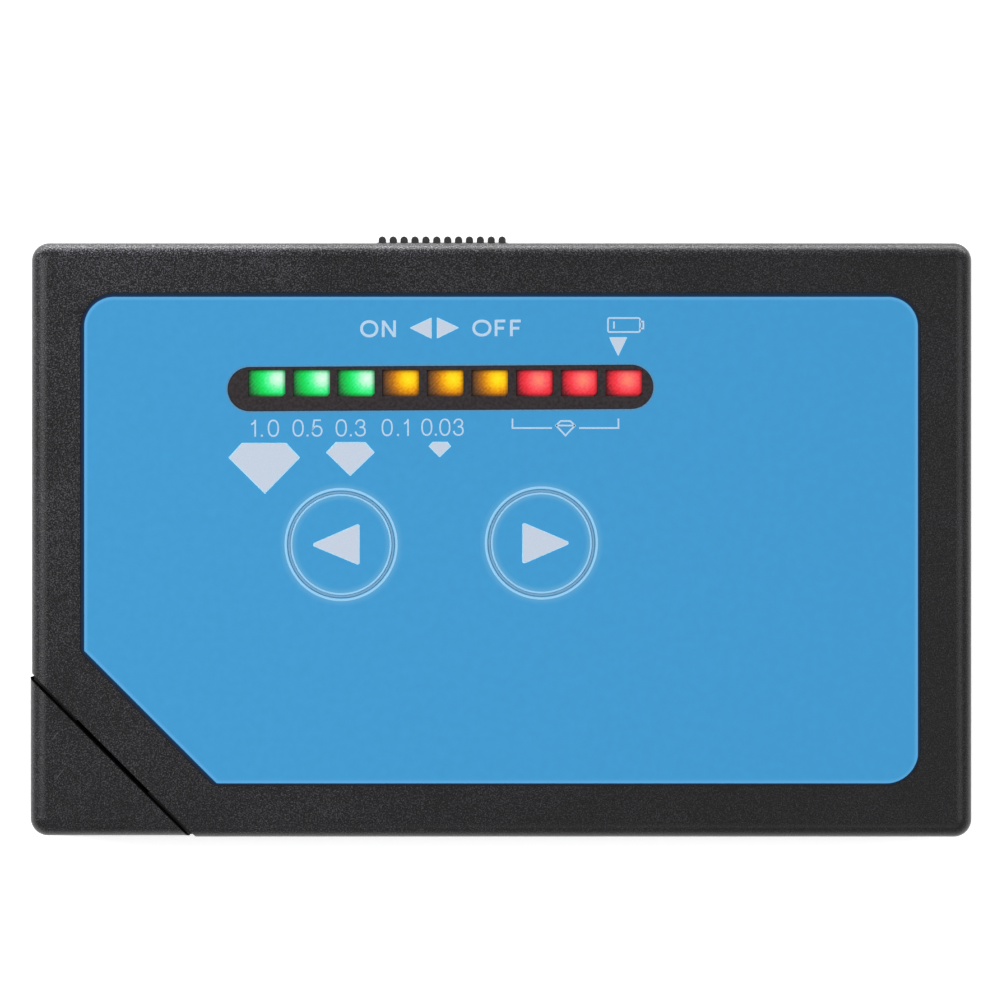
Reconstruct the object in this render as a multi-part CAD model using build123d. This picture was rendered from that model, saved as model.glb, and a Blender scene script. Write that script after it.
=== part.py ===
from build123d import *
import math
import os

# Pocket diamond tester lying on its back, in millimetres.
# X runs across its width, Y up its height and Z out of the front face; the back face is at Z zero.

# Case
case_width = 107.0
case_height = 67.6
corner_step = 0.2
inner_corner_radius = 1.0
front_edge_radius = 1.8
back_edge_radius = 1.2
wall = 2.0
front_plate = 2.4
back_plate = 2.0
split_share = 0.5
split_chamfer = 0.25
lip_thickness = 0.8
lip_height = 1.0
lip_boss_gap = 0.4
fit_clearance = 0.15
overrun = 1.0

# Face overlay, in a shallow recess of the front housing
overlay_left_margin = 5.82
overlay_right_margin = 6.08
overlay_top_margin = 5.9
overlay_bottom_margin = 6.1
overlay_thickness = 0.5
overlay_sink = 0.1
overlay_gap = 0.27
overlay_radius = 3.75
overlay_cut_margin = 5.84
overlay_cut_radius = 1.2

# Lower left corner: distances run inwards from the sharp corner, along its bisector
corner_cut = 13.2
seam_gap = 0.43

# Circuit board, held under the front plate
board_drop = 4.2
board_left_margin = 4.5
board_right_margin = 2.5
board_top_gap = 0.25
board_bay_gap = 0.5
board_thickness = 1.6
board_corner_radius = 1.5
board_screw_inset = 3.5
board_boss_radius = 2.2
board_screw_radius = 0.75
board_screw_clearance = 0.15
board_screw_head_radius = 1.6
board_screw_head_height = 1.0
board_screw_grip = 2.4
thread_clearance = 0.05

# Places on the board as shares of its width and height, from its lower left corner
light_row_shares = (0.40976, 0.66967)
left_key_shares = (0.26512, 0.19769)
right_key_shares = (0.54305, 0.20206)
knob_share = 0.40524
controller_shares = (0.79, 0.45)
amplifier_shares = (0.92, 0.45)
crystal_shares = (0.79, 0.2)
resistor_row_share = 0.468
capacitor_shares = (0.561, 0.4165)
buzzer_shares = (0.171, 0.519)

# Light row
led_count = 9
led_pitch = 5.08
led_gap = 1.0
led_depth = 2.88
led_sink = 0.2
led_notch = 0.35
led_clearance = 0.06
strip_end_margin = 2.68
strip_rim_above = 0.61
strip_rim_below = 1.59
strip_shift = 0.6
strip_tilt = 0.35
strip_sink = 0.14
strip_clearance = 0.08
holder_margin = 1.5

# Keys
key_radius = 5.78
key_gap = 0.32
key_skirt_rim = 0.74
key_skirt_gap = 0.3
key_skirt_reach = 1.0
key_plate = 1.0
key_switch_gap = 0.36
key_shoulder_gap = 0.1
key_sink = 0.05
key_edge = 0.2
key_travel = 0.4

# Key switches on the board
switch_side = 6.0
switch_top_gap = 0.6
switch_corner = 0.5
plunger_radius = 1.75
plunger_depth = 0.5
plunger_clearance = 0.1
key_boss_radius = 2.0

# Power switch in the upper wall
knob_rib_count = 12
knob_rib_pitch = 1.242
knob_rib_radius = 0.415
knob_front_gap = 0.6
knob_proud = 0.8
knob_root_proud = 0.1
knob_travel = 2.0
knob_slot_gap = 0.2
knob_flange = 0.7
knob_flange_overlap = 0.3
power_body_width = 14.0
power_body_depth = 4.2
power_lever_width = 3.0
power_lever_depth = 1.5
power_lever_engagement = 0.6
power_slot_depth = 2.4

# Probe in the lower left corner, again measured inwards along the bisector
tip_room = 1.6
tip_proud = 2.1
tip_radius = 0.5
tip_point_radius = 0.3
tip_point_length = 0.6
tip_step_gap = 0.5
tip_collar_length = 1.0
tip_collar_gap = 0.2
tip_travel = 1.2
sleeve_front_radius = 1.2
sleeve_root_radius = 2.5
sleeve_shank_radius = 2.2
sleeve_guide_length = 3.0
sleeve_running_gap = 0.05
nose_length = 2.5
nose_width = 11.0
nose_clearance = 0.8
nose_radius = 1.0
barrel_radius = 4.5
barrel_board_gap = 6.0
barrel_bore_radius = 2.6
barrel_end_wall = 1.5
barrel_wire_hole = 1.0
flange_thickness = 1.2
flange_overlap = 1.0
saddle_thickness = 1.5
saddle_side = 1.5
saddle_shares = (0.32, 0.78)
spring_wire_radius = 0.2
spring_bore_gap = 0.5
spring_turns = 6
spring_seat_gap = 0.1
heater_length = 3.0
heater_lap = 2.0
heater_wall = 0.4
heater_spring_gap = 0.4

# Cap over the probe
cap_wall = 1.6
cap_fit_clearance = 0.3
cap_play = 0.2

# Battery bay and its sliding door
cell_diameter = 10.5
cell_length = 44.5
cell_nub_radius = 1.9
cell_nub_height = 0.8
cell_edge_radius = 0.4
cell_spacing = 0.3
cell_front_gap = 2.05
partition = 1.2
door_thickness = 1.8
door_slope = 1.0
door_lip = 0.6
door_cell_gap = 0.25
grip_length = 12.0
grip_width = 9.0
grip_depth = 0.7
grip_inset = 6.0
grip_radius = 1.5
grip_rib_count = 4
grip_rib_share = 0.45
contact_thickness = 0.4
contact_side_margin = 0.95
contact_foot_margin = 0.45
contact_tab_reach = 0.8
contact_tab_width = 3.0
contact_gap = 0.05
coil_length = 4.6
coil_wire_radius = 0.3
coil_base_radius = 3.4
coil_tip_radius = 2.4
coil_turns = 3
wire_sides = 6
lead_radius = 0.5
lead_pad_gap = 0.15
lead_run = 4.0
lead_pad_run = 2.0
lead_shares = (0.35, 0.72)
lead_bend_share = 0.46

# Screws that hold the two housings together
case_screw_middle_share = 0.337
case_screw_radius = 1.0
case_screw_clearance = 0.3
case_screw_head_radius = 2.4
case_screw_head_height = 1.8
case_screw_seat = 4.0
case_screw_hole_margin = 0.4
case_screw_grip = 5.0
post_wall = 0.8
post_bay_gap = 0.7
boss_radius = 3.0
driver_length = 2.8
driver_width = 0.6
driver_depth = 0.9

# Parts on the board
chip_side = 7.0
chip_height = 1.5
chip_pin_count = 8
chip_pin_pitch = 0.8
chip_pin_width = 0.35
chip_pin_reach = 1.0
chip_pin_height = 0.6
amplifier_length = 5.0
amplifier_width = 4.0
amplifier_pin_count = 4
amplifier_pin_pitch = 1.27
resistor_count = 8
resistor_pitch = 3.2
resistor_length = 1.25
resistor_width = 2.0
resistor_height = 0.6
crystal_length = 11.0
crystal_width = 4.4
crystal_height = 3.4
capacitor_radius = 3.15
capacitor_floor_gap = 1.4
capacitor_pitch = 8.0
capacitor_edge = 0.4
buzzer_radius = 6.0
buzzer_floor_gap = 0.6
buzzer_hole_radius = 1.2
buzzer_hole_depth = 1.5
buzzer_edge = 0.4
sound_hole_radius = 0.7
sound_hole_ring = 2.6
sound_hole_count = 6
connector_length = 2.6
connector_width = 3.6
connector_height = 2.2
connector_edge_gap = 0.1
ribbon_width = 3.0
ribbon_thickness = 0.4
ribbon_straight = 1.2
ribbon_edge_gap = 0.3

# Heights through the case
case_thickness = door_thickness + door_cell_gap + cell_diameter + cell_front_gap + front_plate
half_width = case_width / 2
half_height = case_height / 2
corner_radius = front_edge_radius + corner_step
split_height = case_thickness * split_share
plate_inside = case_thickness - front_plate
overlay_front = case_thickness - overlay_sink
recess_floor = overlay_front - overlay_thickness
board_front = plate_inside - board_drop
board_back = board_front - board_thickness
cell_z = door_thickness + door_cell_gap + cell_diameter / 2

# Battery bay, along the lower wall and up to the right wall
coil_space = coil_length + contact_gap
bay_length = cell_length + coil_space + 2 * contact_thickness + contact_gap
bay_right = half_width - wall
bay_left = bay_right - bay_length
bay_width = 2 * cell_diameter + 3 * cell_spacing
bay_bottom = wall - half_height
bay_top = bay_bottom + bay_width
bay_y = (bay_bottom + bay_top) / 2
cell_offset = (cell_diameter + cell_spacing) / 2
cell_y = {"upper": bay_y + cell_offset, "lower": bay_y - cell_offset}
contact_width = cell_diameter - 2 * contact_side_margin
contact_foot = cell_z - cell_diameter / 2 + contact_foot_margin
contact_top = cell_z + cell_diameter / 2 - contact_foot_margin
tab_end = bay_left - partition - contact_tab_reach

# Case screws
post_radius = case_screw_head_radius + case_screw_hole_margin + post_wall
case_screw_inset = wall + boss_radius + lip_boss_gap
cut_end = corner_cut * math.sqrt(2) - half_width
case_screw_middle_x = cut_end + (bay_left - partition - cut_end) * case_screw_middle_share
screw_places = (
    (case_screw_inset - half_width, half_height - case_screw_inset),
    (half_width - case_screw_inset, half_height - case_screw_inset),
    (half_width - case_screw_inset, bay_top + partition + post_radius + post_bay_gap),
    (case_screw_middle_x, case_screw_inset - half_height),
)

# Board and the places on it
knob_inner = half_height - wall - fit_clearance - knob_flange
board_left = case_screw_inset - half_width + post_radius + board_left_margin
board_right = half_width - case_screw_inset - post_radius - board_right_margin
board_top = knob_inner - board_top_gap
board_bottom = bay_top + partition + board_bay_gap
board_x = (board_left + board_right) / 2
board_y = (board_bottom + board_top) / 2
board_width = board_right - board_left
board_height = board_top - board_bottom
board_screw_x = board_width / 2 - board_screw_inset
board_screw_y = board_height / 2 - board_screw_inset
board_screw_places = tuple(
    (board_x + side * board_screw_x, board_y + end * board_screw_y) for side in (-1, 1) for end in (-1, 1)
)


def on_board(shares):
    return board_left + board_width * shares[0], board_bottom + board_height * shares[1]


led_row_x, led_row_y = on_board(light_row_shares)
led_width = led_pitch - led_gap
strip_length = led_pitch * led_count + strip_end_margin
strip_width = led_depth + strip_rim_above + strip_rim_below
strip_x = led_row_x - strip_shift
strip_y = led_row_y + (strip_rim_above - strip_rim_below) / 2
resistor_y = board_bottom + board_height * resistor_row_share

# Keys and their switches
key_places = {"left": on_board(left_key_shares), "right": on_board(right_key_shares)}
key_skirt_radius = key_radius + key_skirt_rim
key_hollow_radius = switch_side / math.sqrt(2) + key_switch_gap
key_front = case_thickness - key_sink
key_shoulder = recess_floor - key_shoulder_gap
key_bottom = plate_inside - key_skirt_reach
key_hollow_top = key_shoulder - key_plate
plunger_top = key_hollow_top - key_travel - plunger_clearance
switch_top = plunger_top - key_travel - switch_top_gap

# Power switch, its knob at the right end of the travel
knob_x = board_left + board_width * knob_share
knob_width = knob_rib_count * knob_rib_pitch
knob_depth = board_drop - knob_front_gap
knob_z = plate_inside - knob_front_gap - knob_depth / 2
switch_x = knob_x - knob_travel / 2

# Probe
board_edge = (board_bottom + half_height) * math.sqrt(2)
bore_start = corner_cut + wall
barrel_start = bore_start + flange_thickness
barrel_end = board_edge - barrel_board_gap
barrel_length = barrel_end - barrel_start
nose_front = corner_cut - nose_length
nose_height = plate_inside - back_plate - 2 * flange_overlap - 2 * nose_clearance
tip_end = cap_wall * math.sqrt(2) + tip_room
sleeve_front = tip_end + tip_proud
sleeve_step = sleeve_front + sleeve_guide_length
tip_shoulder = sleeve_step + tip_step_gap
collar_start = bore_start + sleeve_running_gap
bore_end = barrel_end - barrel_end_wall
heater_end = bore_end - tip_travel - spring_seat_gap
spring_radius = barrel_bore_radius - spring_bore_gap - spring_wire_radius
heater_radius = spring_radius - spring_wire_radius - heater_spring_gap
tip_rod_radius = heater_radius - heater_wall
tip_collar_radius = barrel_bore_radius - tip_collar_gap
connector_start = board_edge + connector_width / 2 + connector_edge_gap
connector_end = connector_start + connector_length
ribbon_risen = board_edge - ribbon_width / 2 - ribbon_edge_gap

# Battery leads, in the space between the probe's connector and the battery bay
connector_right = (connector_end + connector_width / 2) / math.sqrt(2) - half_width
lead_space = tab_end - connector_right
lead_climb = board_bottom - lead_run - cell_y["upper"]
lead_bend = lead_bend_share * min(lead_shares[0] * lead_space, lead_climb)

# Frame of the corner: local X runs inwards along the bisector from the sharp corner, local Z is up
corner_frame = Location((-half_width, -half_height, 0), (0, 0, 45))


# Boxes and cylinders given by their extents
def block(x0, x1, y0, y1, z0, z1):
    middle = Pos((x0 + x1) / 2, (y0 + y1) / 2, (z0 + z1) / 2)
    return middle * Box(x1 - x0, y1 - y0, z1 - z0)


def post(x, y, z0, z1, radius):
    return Pos(x, y, (z0 + z1) / 2) * Cylinder(radius, z1 - z0)


def prism(face, z0, z1):
    return Pos(Z=z0) * extrude(face, amount=z1 - z0)


# Solid of revolution about X from (along, radius) points that start and end on the axis
def turned(points):
    return revolve(make_face(Polyline(*points, close=True)), Axis.X)


# Rectangle whose lower left corner is cut at 45 degrees, a given distance from the sharp case corner
def cut_rectangle(left, right, bottom, top, cut, radius, cut_radius):
    reach = cut * math.sqrt(2) - half_width - half_height
    low = (reach - bottom, bottom)
    high = (left, reach - left)
    face = make_face(Polyline(low, (right, bottom), (right, top), (left, top), high, close=True))
    corners = face.vertices().sort_by(lambda vertex: vertex.X + vertex.Y)
    face = fillet(corners[:2], cut_radius)
    square = [v for v in face.vertices() if v.X > right - overrun and v.Y < bottom + overrun]
    square += [v for v in face.vertices() if v.Y > top - overrun]
    return fillet(square, radius)


def inner_face(inset):
    right = half_width - inset
    top = half_height - inset
    radius = inner_corner_radius
    return cut_rectangle(-right, right, -top, top, corner_cut + inset, radius, radius)


def overlay_face(grow):
    right = half_width - overlay_right_margin + grow
    left = overlay_left_margin - half_width - grow
    top = half_height - overlay_top_margin + grow
    bottom = overlay_bottom_margin - half_height - grow
    cut = corner_cut + overlay_cut_margin - grow
    return cut_rectangle(left, right, bottom, top, cut, overlay_radius + grow, overlay_cut_radius + grow)


# Whole outer form of the closed case, corner included
def case_block():
    body = extrude(RectangleRounded(case_width, case_height, corner_radius), amount=case_thickness)
    body = fillet(body.faces().sort_by(Axis.Z)[-1].edges(), front_edge_radius)
    return fillet(body.faces().sort_by(Axis.Z)[0].edges(), back_edge_radius)


# Everything nearer to the sharp corner than a given distance
def corner_wedge(distance):
    reach = 2 * corner_cut
    return corner_frame * block(-reach, distance, -reach, reach, -overrun, case_thickness + overrun)


def case_half(low, high):
    slab = block(-case_width, case_width, -case_height, case_height, low, high)
    return (case_block() & slab) - corner_wedge(corner_cut)


def strip_face(grow):
    outline = SlotOverall(strip_length + 2 * grow, strip_width + 2 * grow)
    return Pos(strip_x, strip_y) * Rot(Z=strip_tilt) * outline


def led_places():
    first = led_row_x - led_pitch * (led_count - 1) / 2
    return [(first + led_pitch * number, led_row_y) for number in range(led_count)]


# Plan of one light body, with the small polarity corner at its lower right
def led_face(grow):
    face = Rectangle(led_width + 2 * grow, led_depth + 2 * grow)
    corner = face.vertices().sort_by(lambda vertex: vertex.X - vertex.Y)[-1:]
    return chamfer(corner, led_notch)


def led_pockets(low, high):
    return [prism(Pos(x, y) * led_face(led_clearance), low, high) for x, y in led_places()]


# Half saddles that carry the probe barrel in each housing
def saddles(low, high):
    side = barrel_radius + saddle_side
    plates = []
    for share in saddle_shares:
        middle = barrel_start + share * barrel_length
        start = middle - saddle_thickness / 2
        plates.append(block(start, start + saddle_thickness, -side, side, low, high))
    seat = barrel_radius + sleeve_running_gap
    barrel = Pos(Z=split_height) * turned([(0, 0), (0, seat), (board_edge, seat), (board_edge, 0)])
    return [corner_frame * (plate - barrel) for plate in plates]


# Window in the slanted wall for the nose of the probe holder
def nose_window():
    half = nose_width / 2 + sleeve_running_gap
    rise = nose_height / 2 + sleeve_running_gap
    opening = block(
        corner_cut - overrun, corner_cut + wall, -half, half, split_height - rise, split_height + rise
    )
    return corner_frame * opening


def front_housing():
    shell = case_half(split_height, case_thickness)
    shell = chamfer(shell.faces().sort_by(Axis.Z)[0].edges(), split_chamfer)
    shell -= prism(inner_face(wall), split_height, plate_inside)
    groove = wall - lip_thickness - fit_clearance
    shell -= prism(inner_face(groove), split_height, split_height + lip_height + fit_clearance)
    bosses = [post(x, y, split_height, plate_inside, boss_radius) for x, y in screw_places]
    bosses += [post(x, y, board_front, plate_inside, board_boss_radius) for x, y in board_screw_places]
    shell = shell + bosses + saddles(split_height, plate_inside)
    shell -= prism(overlay_face(overlay_gap), recess_floor, case_thickness + overrun)
    shell -= prism(strip_face(strip_clearance), plate_inside - overrun, case_thickness)
    for x, y in key_places.values():
        shell -= post(x, y, plate_inside - overrun, case_thickness, key_skirt_radius + key_skirt_gap)
    pilot = case_screw_radius + thread_clearance
    pilot_top = split_height + case_screw_grip + thread_clearance
    for x, y in screw_places:
        shell -= post(x, y, split_height - overrun, pilot_top, pilot)
    board_pilot = board_screw_radius + thread_clearance
    board_pilot_top = board_front + board_screw_grip + thread_clearance
    for x, y in board_screw_places:
        shell -= post(x, y, board_front - overrun, board_pilot_top, board_pilot)
    return shell - nose_window() - knob_slot()


# Slot in the upper wall that the ribbed knob runs in
def knob_slot():
    half = (knob_width + knob_travel) / 2 + knob_slot_gap
    rise = knob_depth / 2 + knob_slot_gap
    inner = half_height - wall - overrun
    return block(
        switch_x - half, switch_x + half, inner, half_height + overrun, knob_z - rise, knob_z + rise
    )


# Dovetail section of the battery door, carried along X; the housing is cut by the same section, grown
def door_prism(start, end, grow):
    outer = bay_width / 2 - door_lip + grow
    inner = outer + door_slope
    top = door_thickness + grow
    section = Polyline(
        (bay_y - outer, 0), (bay_y + outer, 0), (bay_y + inner, top), (bay_y - inner, top), close=True
    )
    return Pos(X=start) * extrude(Plane.YZ * make_face(section), amount=end - start)


def sound_holes():
    middle_x, middle_y = on_board(buzzer_shares)
    places = [(middle_x, middle_y)]
    for number in range(sound_hole_count):
        turn = 2 * math.pi * number / sound_hole_count
        across = sound_hole_ring * math.cos(turn)
        places.append((middle_x + across, middle_y + sound_hole_ring * math.sin(turn)))
    return [post(x, y, -overrun, back_plate + overrun, sound_hole_radius) for x, y in places]


def rear_housing():
    shell = case_half(0, split_height)
    shell = chamfer(shell.faces().sort_by(Axis.Z)[-1].edges(), split_chamfer)
    shell -= prism(inner_face(wall), back_plate, split_height)
    lip = inner_face(wall - lip_thickness) - inner_face(wall)
    shell += prism(lip, split_height - overrun, split_height + lip_height)
    bay_outside = bay_top + partition
    shell += block(bay_left - partition, bay_left, bay_bottom, bay_outside, back_plate, split_height)
    shell += block(bay_left, bay_right, bay_top, bay_outside, back_plate, split_height)
    for x, y in screw_places:
        shell += post(x, y, back_plate, split_height, post_radius)
    shell = shell + saddles(back_plate, split_height)
    shell -= block(bay_left, bay_right, bay_bottom, bay_top, door_thickness, split_height)
    shell -= door_prism(bay_left, half_width + overrun, fit_clearance)
    for x, y in screw_places:
        shell -= post(x, y, -overrun, case_screw_seat, case_screw_head_radius + case_screw_hole_margin)
        shell -= post(x, y, 0, split_height + overrun, case_screw_radius + case_screw_clearance)
    return shell - sound_holes() - nose_window()


def face_overlay():
    film = prism(overlay_face(0), recess_floor, overlay_front)
    film -= prism(strip_face(strip_clearance), recess_floor, overlay_front)
    for x, y in key_places.values():
        film -= post(x, y, recess_floor, overlay_front, key_radius + key_gap)
    return film


def window_strip():
    bar = prism(strip_face(0), plate_inside, case_thickness - strip_sink)
    return bar - led_pockets(plate_inside, case_thickness)


def led_holder():
    length = led_pitch * led_count
    width = led_depth + 2 * holder_margin
    bar = prism(Pos(led_row_x, led_row_y) * Rectangle(length, width), board_front, plate_inside)
    return bar - led_pockets(board_front, plate_inside)


def light_bodies(first):
    bodies = [
        prism(Pos(x, y) * led_face(0), board_front, case_thickness - led_sink)
        for x, y in led_places()[first : first + led_count // 3]
    ]
    return Compound(children=bodies)


# Key cap: its skirt is caught under the overlay and its boss stands on the switch plunger
def key_cap(x, y):
    cap = post(x, y, key_bottom, key_shoulder, key_skirt_radius)
    face = post(x, y, key_shoulder, key_front, key_radius)
    face = chamfer(face.faces().sort_by(Axis.Z)[-1].edges(), key_edge)
    cap = cap + face - post(x, y, key_bottom, key_hollow_top, key_hollow_radius)
    return cap + post(x, y, plunger_top, key_hollow_top, key_boss_radius)


def key_switch_body(x, y):
    outline = RectangleRounded(switch_side, switch_side, switch_corner)
    body = prism(Pos(x, y) * outline, board_front, switch_top)
    well = switch_top - plunger_depth - key_travel - plunger_clearance
    return body - post(x, y, well, switch_top, plunger_radius + plunger_clearance)


def key_switch_plunger(x, y):
    return post(x, y, switch_top - plunger_depth, plunger_top, plunger_radius)


def circuit_board():
    outline = RectangleRounded(board_width, board_height, board_corner_radius)
    board = prism(Pos(board_x, board_y) * outline, board_back, board_front)
    for x, y in board_screw_places:
        board -= post(x, y, board_back, board_front, board_screw_radius + board_screw_clearance)
    return board


def board_screws():
    screws = []
    for x, y in board_screw_places:
        head = post(x, y, board_back - board_screw_head_height, board_back, board_screw_head_radius)
        screws.append(head + post(x, y, board_back, board_front + board_screw_grip, board_screw_radius))
    return Compound(children=screws)


def power_switch_body():
    front = board_top
    back = front - power_body_depth
    body = block(
        switch_x - power_body_width / 2, switch_x + power_body_width / 2,
        back, front, board_front, knob_z + knob_depth / 2,
    )
    half = (power_lever_width + knob_travel) / 2 + knob_slot_gap
    rise = power_lever_depth / 2 + knob_slot_gap
    return body - block(
        switch_x - half, switch_x + half, front - power_slot_depth, front, knob_z - rise, knob_z + rise
    )


def power_switch_lever():
    half = power_lever_width / 2
    rise = power_lever_depth / 2
    start = board_top - power_slot_depth + knob_slot_gap
    end = knob_inner + power_lever_engagement
    return block(knob_x - half, knob_x + half, start, end, knob_z - rise, knob_z + rise)


# Ribbed knob: a flange behind the wall, a block through the slot and upright round-nosed ribs
def power_switch_knob():
    rise = knob_depth / 2
    shut = (knob_width + 2 * knob_travel) / 2 + knob_slot_gap + knob_flange_overlap
    lap = rise + knob_slot_gap + knob_flange_overlap / 2
    knob = block(
        knob_x - shut, knob_x + shut, knob_inner, knob_inner + knob_flange, knob_z - lap, knob_z + lap
    )
    root = half_height + knob_root_proud
    knob += block(
        knob_x - knob_width / 2, knob_x + knob_width / 2, knob_inner + knob_flange, root,
        knob_z - rise, knob_z + rise,
    )
    nose = half_height + knob_proud - knob_rib_radius
    for number in range(knob_rib_count):
        x = knob_x + knob_rib_pitch * (number - (knob_rib_count - 1) / 2)
        side = knob_rib_radius
        knob += block(x - side, x + side, root, nose, knob_z - rise, knob_z + rise)
        knob += post(x, nose, knob_z - rise, knob_z + rise, knob_rib_radius)
    half = power_lever_width / 2 + sleeve_running_gap
    pocket = power_lever_depth / 2 + sleeve_running_gap
    depth = power_lever_engagement + sleeve_running_gap
    return knob - block(
        knob_x - half, knob_x + half, knob_inner, knob_inner + depth, knob_z - pocket, knob_z + pocket
    )


def in_corner(shape):
    return corner_frame * Pos(Z=split_height) * shape


# Moulded holder: nose through the slanted wall, flange behind it, barrel for the spring
def probe_holder():
    nose_outline = Plane.YZ * RectangleRounded(nose_width, nose_height, nose_radius)
    holder = Pos(X=nose_front) * extrude(nose_outline, amount=nose_length + wall)
    flange_outline = Plane.YZ * RectangleRounded(
        nose_width + 2 * flange_overlap, nose_height + 2 * flange_overlap, nose_radius
    )
    holder += Pos(X=corner_cut + wall) * extrude(flange_outline, amount=flange_thickness)
    holder += turned([
        (barrel_start, 0), (barrel_start, barrel_radius), (barrel_end, barrel_radius), (barrel_end, 0)
    ])
    shank_bore = sleeve_shank_radius + sleeve_running_gap / 2
    holder -= turned([(nose_front, 0), (nose_front, shank_bore), (bore_start, shank_bore), (bore_start, 0)])
    holder -= turned([
        (bore_start, 0), (bore_start, barrel_bore_radius), (bore_end, barrel_bore_radius),
        (bore_end, barrel_wire_hole), (barrel_end, barrel_wire_hole), (barrel_end, 0),
    ])
    return in_corner(holder)


def probe_sleeve():
    cone = turned([
        (sleeve_front, 0), (sleeve_front, sleeve_front_radius), (nose_front, sleeve_root_radius),
        (nose_front, sleeve_shank_radius), (bore_start, sleeve_shank_radius), (bore_start, 0),
    ])
    guide = tip_radius + sleeve_running_gap
    rod_bore = tip_rod_radius + sleeve_running_gap
    bore = turned([
        (sleeve_front, 0), (sleeve_front, guide), (sleeve_step, guide),
        (sleeve_step, rod_bore), (bore_start, rod_bore), (bore_start, 0),
    ])
    return in_corner(cone - bore)


def probe_tip():
    collar_end = collar_start + tip_collar_length
    rod_end = heater_end - heater_length + heater_lap
    pin = turned([
        (tip_end, 0), (tip_end, tip_point_radius), (tip_end + tip_point_length, tip_radius),
        (tip_shoulder, tip_radius), (tip_shoulder, tip_rod_radius), (collar_start, tip_rod_radius),
        (collar_start, tip_collar_radius), (collar_end, tip_collar_radius),
        (collar_end, tip_rod_radius), (rod_end, tip_rod_radius), (rod_end, 0),
    ])
    return in_corner(pin)


def probe_heater():
    start = heater_end - heater_length
    sleeve = turned([(start, 0), (start, heater_radius), (heater_end, heater_radius), (heater_end, 0)])
    bore = tip_rod_radius + sleeve_running_gap / 2
    lap = start + heater_lap
    return in_corner(sleeve - turned([(start, 0), (start, bore), (lap, bore), (lap, 0)]))


# Coil along X, from start to end, whose mean radius may change on the way; its wire is a slim prism
def coil(start, end, radius, end_radius, wire_radius, turns):
    length = end - start - 2 * wire_radius
    taper = math.degrees(math.atan2(end_radius - radius, length))
    path = Helix(length / turns, length, radius, cone_angle=taper)
    section = Plane(path @ 0, z_dir=path % 0) * RegularPolygon(wire_radius, wire_sides)
    wire = sweep(section, path=path, is_frenet=True)
    return Pos(X=start + wire_radius) * Rot(Y=90) * wire


def probe_spring():
    start = collar_start + tip_collar_length + spring_seat_gap
    end = bore_end - spring_seat_gap
    return in_corner(coil(start, end, spring_radius, spring_radius, spring_wire_radius, spring_turns))


# Corner cap: the outer corner of the case, hollow between its walls as far out as the nose is wide
def probe_cap():
    mouth = corner_cut - seam_gap
    side = nose_width / 2 + cap_fit_clearance
    rise = nose_height / 2 + fit_clearance
    channel = corner_frame * block(
        0, corner_cut, -side, side, split_height - rise, split_height + rise
    )
    inside = RectangleRounded(case_width - 2 * cap_wall, case_height - 2 * cap_wall, inner_corner_radius)
    hollow = prism(inside, 0, case_thickness) & channel
    sideways = corner_frame * Pos(Y=cap_play) * corner_frame.inverse()
    return sideways * ((case_block() & corner_wedge(mouth)) - hollow)


def battery_door():
    door = door_prism(bay_left + fit_clearance, half_width + overrun, 0) & case_block()
    grip_end = half_width - grip_inset
    grip_x = grip_end - grip_length / 2
    recess = Pos(grip_x, bay_y) * RectangleRounded(grip_length, grip_width, grip_radius)
    door -= prism(recess, 0, grip_depth)
    pitch = grip_length / (grip_rib_count + 1)
    rib = pitch * grip_rib_share
    for number in range(grip_rib_count):
        x = grip_x - grip_length / 2 + pitch * (number + 1)
        half = grip_width / 2
        door += block(x - rib / 2, x + rib / 2, bay_y - half, bay_y + half, 0, grip_depth)
    return door


# Dry cell along X with its raised end at the given place; facing below zero points it to the left
def cell(nub_x, y, facing):
    radius = cell_diameter / 2
    shoulder = cell_nub_height
    end = cell_length
    body = turned([
        (0, 0), (0, cell_nub_radius), (shoulder, cell_nub_radius), (shoulder, radius - cell_edge_radius),
        (shoulder + cell_edge_radius, radius), (end - cell_edge_radius, radius),
        (end, radius - cell_edge_radius), (end, 0),
    ])
    turn = Rot(Z=0) if facing < 0 else Rot(Z=180)
    return Pos(nub_x, y, cell_z) * turn * body


def battery_cell_upper():
    return cell(bay_left + contact_thickness + contact_gap, cell_y["upper"], -1)


def battery_cell_lower():
    return cell(bay_right - contact_thickness - contact_gap, cell_y["lower"], 1)


# Left contact plate with a tab that reaches over the bay wall
def terminal(y):
    half = contact_width / 2
    plate = block(bay_left, bay_left + contact_thickness, y - half, y + half, contact_foot, contact_top)
    tab = contact_tab_width / 2
    tab_back = contact_top - contact_thickness
    return plate + block(tab_end, bay_left, y - tab, y + tab, tab_back, contact_top)


def bridge_contact():
    half = contact_width / 2
    return block(
        bay_right - contact_thickness, bay_right,
        cell_y["lower"] - half, cell_y["upper"] + half, contact_foot, contact_top,
    )


def contact_springs():
    wire = coil(0, coil_length, coil_base_radius, coil_tip_radius, coil_wire_radius, coil_turns)
    left = Pos(bay_left + contact_thickness, cell_y["lower"], cell_z) * wire
    right = Pos(bay_right - contact_thickness, cell_y["upper"], cell_z) * Rot(Z=180) * wire
    return Compound(children=[left, right])


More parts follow.
